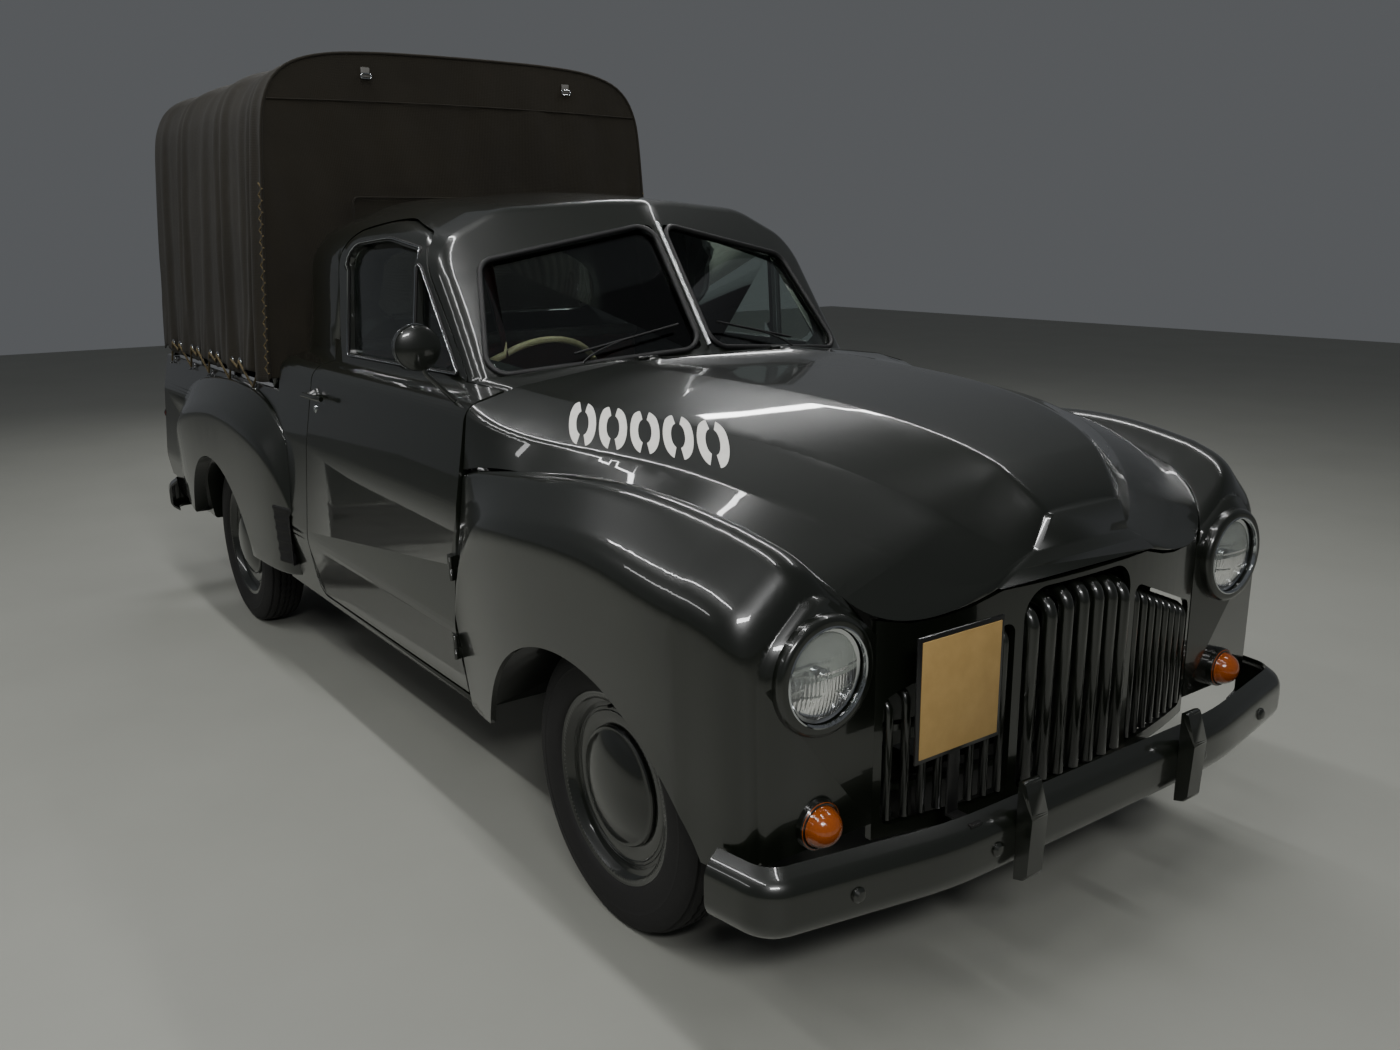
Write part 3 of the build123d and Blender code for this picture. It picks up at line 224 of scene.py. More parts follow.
def plain_finish(name, dark, light, scale, bump_size, values):
    """A finish whose two tones and grain share one noise of a given scale."""
    material, tree, shader = new_finish(name, values)
    spot = add(tree, "ShaderNodeTexCoord").outputs["Object"]
    grain = add(tree, "ShaderNodeTexNoise", {"Vector": spot, "Scale": scale, "Detail": 6.0, "Roughness": 0.6})
    two_tones(tree, shader, grain, dark, light)
    bump = add(tree, "ShaderNodeBump",
               {"Strength": 0.35, "Distance": bump_size, "Height": grain.outputs["Fac"]})
    tree.links.new(bump.outputs["Normal"], shader.inputs["Normal"])
    return material


proofed_duck = duck_canvas("proofed_cotton_duck", "#18150e", "#2b261a")
hemp_rope = plain_finish("laid_hemp_rope", "#3d3420", "#6b5d3c", 260.0, 0.0012, {"Roughness": 0.85})

# %% [markdown]
# Rubber is moulded and dull, with a little bloom. Glass is clear with a faint green edge, lamp lenses are
# pressed glass or tinted acrylic, and the bright parts are chromed brass or polished aluminium. Each starts
# from the usual values of its kind.

# %% Rubber, glass and metal
tyre_rubber = plain_finish("moulded_tyre_rubber", "#0c0c0c", "#1b1a19", 90.0, 0.0006, {"Roughness": 0.78})
seal_rubber = plain_finish("extruded_seal_rubber", "#080808", "#121212", 60.0, 0.0002, {"Roughness": 0.5})
window_glass = new_finish("flat_window_glass", {
    "Base Color": linear("#dfe9e4"), "Roughness": 0.0, "IOR": 1.5, "Transmission Weight": 1.0})[0]
lens_glass = new_finish("pressed_lens_glass", {
    "Base Color": linear("#eef1ee"), "Roughness": 0.04, "IOR": 1.5, "Transmission Weight": 0.92})[0]
amber_acrylic = plain_finish("amber_moulded_acrylic", "#a8480a", "#d8701a", 400.0, 0.0008, {
    "Roughness": 0.12, "Coat Weight": 1.0, "Transmission Weight": 0.35, "IOR": 1.49})
red_acrylic = plain_finish("red_moulded_acrylic", "#5c0505", "#8d0a08", 400.0, 0.0008, {
    "Roughness": 0.12, "Coat Weight": 1.0, "Transmission Weight": 0.3, "IOR": 1.49})
chrome = plain_finish("chromed_brass", "#b9bdc1", "#d5d8da", 120.0, 0.0001,
                      {"Metallic": 1.0, "Roughness": 0.09})
aluminium = plain_finish("polished_aluminium", "#a4a6a6", "#c6c8c8", 200.0, 0.0002,
                         {"Metallic": 1.0, "Roughness": 0.24})
silvering = plain_finish("silvered_reflector", "#cfd2d4", "#eceeef", 30.0, 0.0001,
                         {"Metallic": 1.0, "Roughness": 0.12})
leathercloth = plain_finish("maroon_coated_cloth", "#2b0a0a", "#4a1412", 420.0, 0.0009, {
    "Roughness": 0.5, "Coat Weight": 0.15, "Coat Roughness": 0.4})
grey_cloth = plain_finish("grey_coated_cloth", "#4b4a47", "#6d6b66", 420.0, 0.0009, {"Roughness": 0.6})
ivory = plain_finish("ivory_moulded_rim", "#a89b78", "#c9bd9a", 80.0, 0.0002,
                     {"Roughness": 0.3, "Coat Weight": 0.6})
bakelite = plain_finish("black_moulded_resin", "#0b0b0b", "#161616", 150.0, 0.0001,
                        {"Roughness": 0.3, "Coat Weight": 0.4})
stencil_white = plain_finish("stencilled_white_paint", "#cfcdc4", "#efeee8", 45.0, 0.0003,
                             {"Roughness": 0.55})
tan_board = plain_finish("tan_painted_board", "#a1824a", "#bd9c62", 25.0, 0.0003, {"Roughness": 0.55})
blank_plate = plain_finish("white_enamelled_plate", "#c9c9c3", "#e2e2dc", 20.0, 0.0001,
                           {"Roughness": 0.35, "Coat Weight": 0.5})
ribbed_rubber = plain_finish("black_ribbed_rubber", "#0a0a0a", "#151514", 120.0, 0.0004, {"Roughness": 0.62})
print("materials", len(bpy.data.materials))

# %% [markdown]
# The solid panels keep their shape and get their finish by name. Their meshes arrive as loose triangles
# with flat shading, which would show as facets in a deep gloss. So each painted panel is copied, its
# corners are merged and it is shaded smooth except at real creases, and the copy stands for the solid.

# %% Finishes for the solid pieces
CREASE = math.radians(28)
WELD, CLOSE_WELD = 1e-5, 1e-6


def keep(mesh, name, material, body="body", crease=CREASE):
    """A finished mesh takes its material, is shaded smooth except at its creases, and rides on a body."""
    piece = bpy.data.objects.new(name, mesh)
    bpy.context.scene.collection.objects.link(piece)
    mesh.materials.clear()
    mesh.materials.append(material)
    mesh.shade_smooth()
    mesh.set_sharp_from_angle(angle=crease)
    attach(piece, body)
    return piece


def close(bm, name, material, body="body", crease=CREASE):
    """A bmesh is merged, its faces are turned outwards, and it is kept as a piece."""
    bmesh.ops.remove_doubles(bm, verts=bm.verts, dist=WELD)
    bmesh.ops.recalc_face_normals(bm, faces=bm.faces)
    mesh = bpy.data.meshes.new(name)
    bm.to_mesh(mesh)
    bm.free()
    return keep(mesh, name, material, body, crease)


def body_of_node(node):
    """The body that a solid piece rides on."""
    return frame["nodes"][node]["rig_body"]


# A seam on each side of the bonnet is full of specks of triangle, so a smooth band of faces is laid along it
SEAM = [(396, 509, 926), (408, 501, 920), (432, 484, 909), (448, 471, 900), (462, 457, 892), (480, 437, 880),
        (499, 413, 867), (506, 403, 862)]
BAND_STEPS, BAND_HALF, BAND_STEP, BAND_LIFT = 5, 8, 0.0025, 0.00015
ABOVE_ALL = 2.0


def lay_band(bm, side):
    """A band of plain faces is laid along one seam, a hair above the specks."""
    line = [place(x, side * y, z) for x, y, z in SEAM]
    tree = BVHTree.FromBMesh(bm)
    rows = []
    for a, b in zip(line, line[1:]):
        across = Vector((-(b - a).y, (b - a).x, 0)).normalized()
        for k in range(BAND_STEPS):
            middle = a.lerp(b, k / BAND_STEPS)
            row = []
            for part in range(-BAND_HALF, BAND_HALF + 1):
                above = middle + across * part * BAND_STEP
                above.z = ABOVE_ALL
                row.append(tree.ray_cast(above, -UP)[0] + UP * BAND_LIFT)
            rows.append(row)
    grid = [[bm.verts.new(spot) for spot in row] for row in rows]
    for row, after in zip(grid, grid[1:]):
        for k in range(2 * BAND_HALF):
            face = bm.faces.new((row[k], row[k + 1], after[k + 1], after[k]))
            face.normal_update()
            if face.normal.z < 0:
                face.normal_flip()
    print("band along seam", side, len(rows))


def smooth_copy(node, material):
    """A merged, smoothly shaded copy of a solid piece stands for it."""
    bm = bmesh.new()
    bm.from_mesh(frame["nodes"][node].data)
    bmesh.ops.remove_doubles(bm, verts=bm.verts, dist=CLOSE_WELD)
    if node == "bonnet":
        for side in (-1, 1):
            lay_band(bm, side)
    mesh = bpy.data.meshes.new("finished_" + node)
    bm.to_mesh(mesh)
    bm.free()
    piece = keep(mesh, "finished_" + node, material, body_of_node(node))
    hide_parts(node)


PAINTED = [
    "bonnet", "cab_shell", "door_left", "door_right", "front_fender_left", "front_fender_right", "nose_apron",
    "grille", "front_bumper", "rear_bumper", "tray_body", "rear_fender_left", "rear_fender_right", "tailgate",
    "headlamp_rims", "mirror_right", "dashboard", "canopy_frame",
]
CHASSIS = [
    "front_rails", "front_suspension", "knuckle_left", "knuckle_right", "rear_axle", "leaf_springs",
    "fuel_tank", "exhaust", "engine_bay_sides", "floor_pan",
]
OTHERS = [
    ("windscreen", window_glass), ("rear_window", window_glass), ("door_glass_left", window_glass),
    ("door_glass_right", window_glass), ("turn_lamps", amber_acrylic), ("tail_lamps", red_acrylic),
    ("steering_wheel", ivory), ("engine", engine_enamel),
]
for node in PAINTED:
    smooth_copy(node, olive_enamel)
for node in CHASSIS:
    smooth_copy(node, satin_black)
for node, material in OTHERS:
    smooth_copy(node, material)
print("finished solids", len(PAINTED) + len(CHASSIS) + len(OTHERS))

# %% [markdown]
# Small helpers follow for the shapes that repeat: a profile spun round an axis, a bar with rounded edges, a
# round strip along a line, and rounded corners for a window's outline. Bmesh operators do the modelling.

# %% Modelling helpers


def spin(bm, rows, centre, axis, out, steps=64, ring=False):
    """Rows of millimetres along an axis and out from it are spun into a closed shape."""
    verts = [bm.verts.new(centre + axis * a * MM + out * r * MM) for a, r in rows]
    pairs = list(zip(verts, verts[1:]))
    if ring:
        pairs.append((verts[-1], verts[0]))
    edges = [bm.edges.new(pair) for pair in pairs]
    bmesh.ops.spin(bm, geom=verts + edges, cent=centre, axis=axis, dvec=(0, 0, 0), angle=2 * math.pi,
                   steps=steps, space=Matrix(), use_merge=True)


def spun(name, material, rows, centre, axis, out, steps=64, ring=False, body="body",
         crease=CREASE):
    """One spun shape is a piece by itself."""
    bm = bmesh.new()
    spin(bm, rows, centre, axis, out, steps, ring)
    return close(bm, name, material, body, crease)


def rounded_box(bm, low, high, radius, segments=3):
    """A box between two corners with rounded edges, radius in millimetres."""
    made = bmesh.ops.create_cube(bm, size=1.0)["verts"]
    middle = (low + high) / 2
    span = high - low
    for vert in made:
        vert.co = Vector((vert.co.x * span.x, vert.co.y * span.y, vert.co.z * span.z)) + middle
    edges = list({edge for vert in made for edge in vert.link_edges})
    bmesh.ops.bevel(bm, geom=edges, offset=radius * MM, segments=segments, affect="EDGES", profile=0.5,
                    material=-1, clamp_overlap=True)


def boxes(name, material, rows, radius, segments=3, body="body", crease=CREASE):
    """Rounded boxes, each a pair of corners in millimetres, make one piece."""
    bm = bmesh.new()
    for low, high in rows:
        rounded_box(bm, place(*low), place(*high), radius, segments)
    return close(bm, name, material, body, crease)


def round_corners(points, radius, steps=8, closed=True):
    """Corners of a line are rounded with arcs of one radius in millimetres."""
    line = []
    count = len(points)
    for i, corner in enumerate(points):
        if not closed and i in (0, count - 1):
            line.append(corner)
            continue
        before = (points[i - 1] - corner).normalized()
        after = (points[(i + 1) % count] - corner).normalized()
        half = before.angle(after) / 2
        reach = radius * MM / math.tan(half)
        a = corner + before * reach
        b = corner + after * reach
        centre = corner + (before + after).normalized() * (radius * MM / math.sin(half))
        for k in range(steps + 1):
            spot = a.lerp(b, k / steps)
            line.append(centre + (spot - centre).normalized() * radius * MM)
    return line


def strip(name, points, radius, material, body="body", closed=False, smooth=False):
    """A round strip along a line, radius in millimetres, kept as a mesh piece."""
    curve = bpy.data.curves.new(name, "CURVE")
    curve.dimensions = "3D"
    spline = curve.splines.new("NURBS" if smooth else "POLY")
    spline.points.add(len(points) - 1)
    for target, source in zip(spline.points, points):
        target.co = (*source, 1.0)
    spline.use_cyclic_u = closed
    if smooth:
        spline.order_u = 3
        spline.use_endpoint_u = not closed
    curve.bevel_depth = radius * MM
    curve.bevel_resolution = 3
    curve.use_fill_caps = not closed
    holder = bpy.data.objects.new(name, curve)
    bpy.context.scene.collection.objects.link(holder)
    mesh = bpy.data.meshes.new_from_object(holder.evaluated_get(bpy.context.evaluated_depsgraph_get()))
    bpy.data.objects.remove(holder)
    bpy.data.curves.remove(curve)
    return keep(mesh, name, material, body, math.radians(60))


def surface(*nodes):
    """A search tree over solid pieces, to find their skin along a line."""
    corners, faces = [], []
    for node in nodes:
        mesh = frame["nodes"][node].data
        start = len(corners)
        corners += [v.co.copy() for v in mesh.vertices]
        faces += [[start + i for i in polygon.vertices] for polygon in mesh.polygons]
    return BVHTree.FromPolygons(corners, faces)


def skin(tree, start, direction, lift=0.0):
    """The first point of a skin met from a start, lifted off it by millimetres."""
    hit = tree.ray_cast(start, direction)[0]
    return None if hit is None else hit - direction * lift * MM


# %% [markdown]
# A cross-ply tyre of the time has a tall round sidewall and a ribbed road tread with zigzag grooves. Its
# section is spun in many steps, and the groove walls are then shifted left and right in turn, which bends
# them.

# %% Tyres
TYRE_STEPS, TYRE_RADIUS = 120, 314
ZIGZAG, GROOVE_LIMIT, TREAD_FLOOR = 2.2, 40.0, 304
TYRE_HALF = [
    (53, 205), (60, 209), (66, 214), (69, 224), (71.5, 240), (72.3, 256), (71.5, 262), (72.5, 264),
    (71.5, 268), (70.0, 276), (66, 290), (60.5, 300), (56, 305), (53, 301), (50, 302), (48, 308.5), (42, 311),
    (33, 312.4), (31.4, 306), (26.6, 306), (25, 313), (12, 313.8), (10.2, 306.5), (5.8, 306.5), (4, 314),
    (0, 314),
]
REAR_AXLE = -2616
WHEELS = [
    ("front_left", 0, 673), ("front_right", 0, -673), ("rear_left", REAR_AXLE, 686),
    ("rear_right", REAR_AXLE, -686),
]


def tyre(node, x, y):
    """A treaded tyre that stands for a solid one."""
    centre = place(x, y, TYRE_RADIUS)
    rows = TYRE_HALF + [(-a, r) for a, r in reversed(TYRE_HALF[:-1])]
    bm = bmesh.new()
    spin(bm, rows, centre, ALONG_Y, UP, TYRE_STEPS, ring=True)
    for vert in bm.verts:
        offset = vert.co - centre
        out = math.hypot(offset.x, offset.z) / MM
        if out > TREAD_FLOOR and abs(offset.y) < GROOVE_LIMIT * MM:
            step = round(math.atan2(offset.z, offset.x) / (2 * math.pi) * TYRE_STEPS)
            vert.co.y += ZIGZAG * MM * (1 if step % 2 else -1)
    piece = close(bm, "tread_" + node, tyre_rubber, body_of_node(node), crease=math.radians(40))
    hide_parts(node)


for name, x, y in WHEELS:
    tyre("tyre_" + name, x, y)
print("tyres", len(WHEELS))

# %% [markdown]
# The pressed wheel has a rolled rim edge, a well, and a disc with three fine raised rings near its edge. A
# domed cap sprung over the hub hides the nuts. Each is a section spun round the axle.

# %% Wheels and hub caps
DISC_ROWS = [
    (59, 204), (60.5, 208), (58.5, 212), (56, 210), (55, 204), (50, 196), (38, 193), (34, 184), (34, 181),
    (36.5, 179), (34.5, 176), (36, 173), (38.5, 170.5), (36.5, 168), (37.5, 165), (40, 162.5), (38, 160),
    (40, 150), (36, 130), (31, 112), (24, 112), (24, 190), (52, 200),
]
CAP_ROWS = [
    (33, 128), (38, 131), (43, 131), (46, 128), (47, 123), (49, 119), (53, 112), (62, 92), (69, 70), (74, 44),
    (76, 20), (76.5, 0),
]


def wheel(name, x, y):
    """The painted disc, hub cap and valve of one wheel."""
    out = ALONG_Y * (1 if y > 0 else -1)
    centre = place(x, y, TYRE_RADIUS)
    body = body_of_node("wheel_" + name)
    smooth_copy("wheel_" + name, olive_enamel)
    spun("pressed_disc_" + name, olive_enamel, DISC_ROWS, centre, out, UP, 96, ring=True, body=body)
    spun("hub_cap_" + name, olive_enamel, CAP_ROWS, centre, out, UP, 96, body=body)
    spun("valve_" + name, seal_rubber, [(-8, 0), (-8, 4), (12, 4), (14, 2.5), (14, 0)],
         centre + out * 50 * MM + UP * 185 * MM, out, UP, 12, body=body)


for name, x, y in WHEELS:
    wheel(name, x, y)
print("wheels", len(WHEELS))

# %% [markdown]
# A headlamp is a silvered dish behind a pressed lens whose upright flutes spread the beam. The lens here is
# a dome with small waves across it, and a thin bright bead holds it in the painted rim.

# %% Headlamps
LENS_X, LENS_Z, LENS_Y = 534, 709, 631
FLUTE, LENS_EDGE, LENS_RISE, LENS_THICK = 8.0, 86.5, 22.0, 2.0
DISH_ROWS = [(0.5, 0), (1.0, 20), (2.5, 50), (5.5, 74), (8.5, 85)]


def headlamp(side):
    """The dish, bulb, lens and bead of one lamp; the lens is returned."""
    name = "left" if side > 0 else "right"
    centre = place(LENS_X, side * LENS_Y, LENS_Z)
    spun("lamp_dish_" + name, silvering, DISH_ROWS, centre, ALONG_X, UP, 64)
    spun("lamp_bulb_" + name, silvering, [(5, 0), (17, 0.1), (20, 6), (17, 11), (6, 12), (4, 10)], centre,
         ALONG_X, UP, 24)
    bm = bmesh.new()
    made = bmesh.ops.create_grid(bm, x_segments=90, y_segments=40, size=1.0)["verts"]
    for vert in made:
        u, v = vert.co.x, vert.co.y
        disc = Vector((u * math.sqrt(1 - v * v / 2), v * math.sqrt(1 - u * u / 2))) * LENS_EDGE
        height = LENS_RISE * (1 - (disc.length / 87) ** 2.2) + 1.0
        wave = 0.9 * abs(math.sin(math.pi * disc.x / FLUTE)) * (1 if abs(disc.length) < 80 else 0)
        band = 0.8 if 12 < disc.y < 16 or -30 < disc.y < -26 else 0.0
        vert.co = centre + Vector(((height + wave + band) * MM, disc.x * MM, disc.y * MM))
    bmesh.ops.solidify(bm, geom=bm.faces[:], thickness=LENS_THICK * MM)
    lens_piece = close(bm, "fluted_lens_" + name, lens_glass, crease=math.radians(60))
    spun("lens_bead_" + name, chrome, [(16, 86), (22, 86.5), (23.5, 89), (22, 91.5), (16, 92)], centre,
         ALONG_X, UP, 72, ring=True)
    return lens_piece


for side in (-1, 1):
    lens_piece = headlamp(side)
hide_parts("headlamp_lenses")
print("headlamps at", LENS_Y)

# %% [markdown]
# The small flasher lamps are amber domes on a short painted base, held by a thin rim.

# %% Flasher and tail lamp bases
TURN = (534, 637, 430)
TAIL = (-3560.3, 762, 700)
for side, name in SIDES:
    for kind, spot, direction, radius in (("turn", TURN, 1, 44), ("tail", TAIL, -1, 24)):
        centre = place(spot[0], side * spot[1], spot[2])
        rows = [(0, radius), (0, radius + 3), (11, radius + 2), (15, radius - 2), (15.5, radius - 5),
                (13, radius - 5), (13, radius)]
        spun(kind + "_lamp_base_" + name, olive_enamel, rows, centre, ALONG_X * direction, UP, 48, ring=True)
print("lamp bases", 4)

# %% [markdown]
# The windscreen is two flat panes that meet in a V. Each sits in a fat black rubber seal, and a bright
# strip covers the joint. The seal's line is the pane's outline with rounded corners.

# %% Windscreen seals and centre strip
SCREEN_BASE = (-632, 0, 1144)
SCREEN_TOP = (-877, 0, 1472)
SCREEN_LOW = (-767, 596, 1096)
SCREEN_HIGH = (-967, 509, 1365)
BAR_HALF = 18


def pane_line(side, lift):
    """The outline of one pane, lifted along its normal by millimetres."""
    base, crown = place(*SCREEN_BASE), place(*SCREEN_TOP)
    low = place(SCREEN_LOW[0], side * SCREEN_LOW[1], SCREEN_LOW[2])
    sideways = (low - base).normalized()
    normal = sideways.cross(crown - base).normalized() * side
    high = place(SCREEN_HIGH[0], side * SCREEN_HIGH[1], SCREEN_HIGH[2])
    high -= normal * (high - base).dot(normal)
    bar = sideways * BAR_HALF * MM
    corners = [base + bar, low, high, crown + bar]
    return [p + normal * lift * MM for p in corners], normal


for side, name in SIDES:
    corners, normal = pane_line(side, 1)
    line = round_corners([corners[1], corners[2], corners[3], corners[0]], 52)
    strip("screen_seal_" + name, line, 8, seal_rubber, closed=True)
bar_line = [place(-629, 0, 1150), place(-752, 0, 1313), place(-874, 0, 1474)]
strip("screen_centre_strip", bar_line, 7, aluminium)
print("windscreen seals", 2)

# %% [markdown]
# Each wiper has a pivot on the cowl, a thin arm and a rubber blade that lies low on the glass.

# %% Wipers
for side, name in SIDES:
    corners, normal = pane_line(side, 0)
    low = corners[0].lerp(corners[1], 0.62) + normal * 14 * MM
    foot = corners[0].lerp(corners[1], 0.60) + normal * 4 * MM
    rise = (corners[3] - corners[0]).normalized()
    tip_in = corners[0].lerp(corners[1], 0.08) + rise * 75 * MM + normal * 12 * MM
    tip_out = corners[0].lerp(corners[1], 0.60) + rise * 28 * MM + normal * 12 * MM
    pivot = foot - rise * 34 * MM + normal * 8 * MM
    strip("wiper_arm_" + name, [pivot, low + rise * 14 * MM, tip_in.lerp(tip_out, 0.5)], 2.6, satin_black,
          smooth=True)
    strip("wiper_blade_" + name, [tip_in, tip_out], 3.6, seal_rubber)
    spun("wiper_pivot_" + name, satin_black, [(-14, 0), (-14, 11), (4, 10), (9, 6), (10, 0)], pivot, normal,
         rise, 24)
print("wipers", 2)

# %% [markdown]
# The door windows have thin bright edges in black rubber, and an upright bar parts the hinged quarter glass
# from the glass that winds down. Their lines are laid on the door's own skin, found by casting rays
# inwards.

# %% Door window trim
GLASS_LINE = [(-1150, 1098), (-1152, 1412), (-1345, 1440), (-1580, 1420), (-1580, 1098)]
VENT_LINE = [(-898, 1098), (-1114, 1362), (-1141, 1372), (-1141, 1098)]
GLASS_ROUND = [6, 12, 230, 78, 10]
VENT_ROUND = [6, 8, 6, 6]
SWEEP = math.tan(math.radians(14))


def window_point(tree, side, x, z, lift):
    """A drawn window point carried to the door's skin, along the lean of the opening."""
    skin_y = 648 - (z - 1100) * 0.12
    start = place(x + (797 - skin_y) * SWEEP, side * 900, z)
    return skin(tree, start, ALONG_Y * -side, lift)


for side, name in SIDES:
    tree = surface("door_" + name, "door_glass_" + name)
    for kind, rows, rounds in (("main", GLASS_LINE, GLASS_ROUND), ("quarter", VENT_LINE, VENT_ROUND)):
        flat = [Vector((x * MM, 0, z * MM)) for x, z in rows]
        line = []
        for i in range(len(flat)):
            three = [flat[i - 1], flat[i], flat[(i + 1) % len(flat)]]
            line += round_corners(three, rounds[i], 6, closed=False)[1:-1]
        points = [window_point(tree, side, p.x / MM, p.z / MM, 1.0) for p in line]
        points = [p for p in points if p is not None]
        strip(f"window_seal_{kind}_{name}", points, 5, seal_rubber, "door_" + name, closed=True)
        bright = [p + Vector((0, side * 4.5 * MM, 0)) for p in points]
        strip(f"window_edge_{kind}_{name}", bright, 1.8, chrome, "door_" + name, closed=True)
print("door windows", 4)

# %% [markdown]
# A door handle is a bar that swings from a round boss, with a lock cylinder below it. It is laid on the
# door's skin and painted over with the body.

# %% Door handles and locks
HANDLE = (-1626, 978)
for side, name in SIDES:
    tree = surface("door_" + name)
    body = "door_" + name
    inward = ALONG_Y * -side
    base = skin(tree, place(HANDLE[0], side * 900, HANDLE[1]), inward)
    outward = -inward
    spun("handle_boss_" + name, olive_enamel, [(-4, 0), (-4, 19), (3, 19), (6, 15), (16, 11), (34, 10),
         (38, 0)], base, outward, UP, 32, body=body)
    grip = [base + outward * 34 * MM + ALONG_X * reach * MM for reach in (-22, -8, 40, 92, 118)]
    grip[-1] -= outward * 8 * MM
    strip("handle_grip_" + name, grip, 8, olive_enamel, body, smooth=True)
    lock = skin(tree, place(HANDLE[0] + 4, side * 900, HANDLE[1] - 42), inward)
    spun("door_lock_" + name, chrome, [(-3, 0), (-3, 13), (3, 13), (5, 10), (5, 4), (3.5, 3), (3.5, 0)], lock,
         outward, UP, 32, body=body)
print("door handles", 2)

# %% [markdown]
# The round mirror stands on a bent stalk ahead of the right-hand window. Its back is painted and its glass
# looks rearwards, inside a thin bead.

# %% Mirror glass
MIRROR = (-715, -800, 1188)
facing_back = Vector((-1, 0.15, 0)).normalized()
centre = place(*MIRROR)
spun("mirror_bead", chrome, [(12.2, 0), (12.6, 50), (13.5, 52), (15, 54), (12.5, 56), (10, 56), (10, 50)],
     centre, facing_back, UP, 48, body="door_right")
spun("mirror_glass", silvering, [(12.4, 0), (13.2, 25), (13.6, 51), (11, 51), (11, 0)], centre, facing_back,
     UP, 48, body="door_right")
spun("mirror_back", olive_enamel, [(-11, 54), (-14, 50), (-18, 38), (-22, 20), (-23, 0)], centre, facing_back,
     UP, 48, body="door_right")
print("mirror", MIRROR)

# %% [markdown]
# The canopy is one sheet over the hoops, and a second sheet closes its front. The sheet is a fine grid bent
# round the section, with sags between the hoops and long folds that deepen towards the gathered hem. The
# section's line comes from a few measured points, joined by a smooth curve.

# %% The canopy's section
canopy_low, canopy_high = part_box("canopy")
FRONT_X = (canopy_high.x - AXLE_X) / MM
REAR_X = (canopy_low.x - AXLE_X) / MM
HALF_SECTION = [
    (0, 2035), (160, 2034), (330, 2030), (480, 2018), (590, 1990), (656, 1945), (694, 1880), (712, 1800),
    (726, 1640), (740, 1440), (752, 1220), (760, 1080), (764, 987),
]
HOOPS = [-2078, -2545, -3010, -3475]


def smooth_line(points, steps=12):
    """A curve through the given points, as many short runs."""
    ends = [points[0] * 2 - points[1]] + points + [points[-1] * 2 - points[-2]]
    line = []
    for i in range(1, len(ends) - 2):
        a, b, c, d = ends[i - 1:i + 3]
        for k in range(steps):
            t = k / steps
            line.append(0.5 * (2 * b + (c - a) * t + (2 * a - 5 * b + 4 * c - d) * t * t
                               + (3 * b - 3 * c + d - a) * t ** 3))
    return line + [points[-1]]


section = smooth_line([Vector((y, z)) for y, z in HALF_SECTION])
lengths = [0.0]
for a, b in zip(section, section[1:]):
    lengths.append(lengths[-1] + (b - a).length)
HALF_ROUND = lengths[-1]


def section_point(share):
    """A point of the section, from 0 on the crown to 1 at the left hem or -1 at the right hem."""
    reach = abs(share) * HALF_ROUND
    for i in range(1, len(lengths)):
        if lengths[i] >= reach:
            break
    part = (reach - lengths[i - 1]) / (lengths[i] - lengths[i - 1])
    spot = section[i - 1].lerp(section[i], part)
    run = (section[i] - section[i - 1]).normalized()
    sign = -1 if share < 0 else 1
    return Vector((sign * spot.x, spot.y)), Vector((sign * -run.y, run.x))


print("half round", round(HALF_ROUND))

# %% [markdown]
# Folds are the part that makes cloth look like cloth. Each side gets its own set of long waves from a
# seeded draw. They start below the shoulder, lean a little, and draw together at the hem, where short
# gathers join in. Between hoops the cloth sags inwards, and over a hoop it stands proud.

# %% The canopy sheet
ROWS_ALONG, ROWS_ROUND = 216, 220
CANVAS_THICK, SOFT_CREASE = 0.0025, math.radians(80)
SHOULDER_Z = 1960.0
HEM_Z = 987.0
draw = random.Random(11)
# Spacing, start, lean and depth of the long waves of a side
WAVE_RANGES = [(260, 520), (0, 6.28), (-60, 60), (2.5, 4.5)]
FOLDS = {side: [tuple(draw.uniform(*ends) for ends in WAVE_RANGES) for _ in range(4)] for side in (-1, 1)}
# Place, width, lean and depth of the few deep folds where slack cloth hangs from a hoop
DEEP_FOLDS = [
    (-2140, 30, 20, 20), (-2205, 24, -20, 16), (-2300, 34, 30, 14), (-2500, 36, 25, 20), (-2590, 30, 50, 17),
    (-2760, 40, -30, 12), (-3040, 34, -30, 18), (-3130, 28, 20, 13), (-3380, 36, 20, 14),
]


def fold_depth(x, drop, side):
    """How far the cloth stands out along a side; drop runs from 0 at the shoulder to 1 at the hem."""
    depth = 0.0
    for spacing, start, lean, height in FOLDS[side]:
        wave = math.sin(2 * math.pi * (x + lean * drop) / spacing + start)
        depth += height * drop ** 0.7 * (max(wave, 0) ** 1.6 - 0.25)
    for centre, width, lean, height in DEEP_FOLDS:
        away = (x - centre - lean * drop) / width
        depth += height * drop ** 0.5 * (math.exp(-away * away) - 0.45 * math.exp(-(away - 1.6) ** 2))
    gather = max(drop - 0.78, 0) / 0.22
    depth += 7.0 * gather * abs(math.sin(math.pi * x / 73 + 0.4 * math.sin(x / 90)))
    return depth


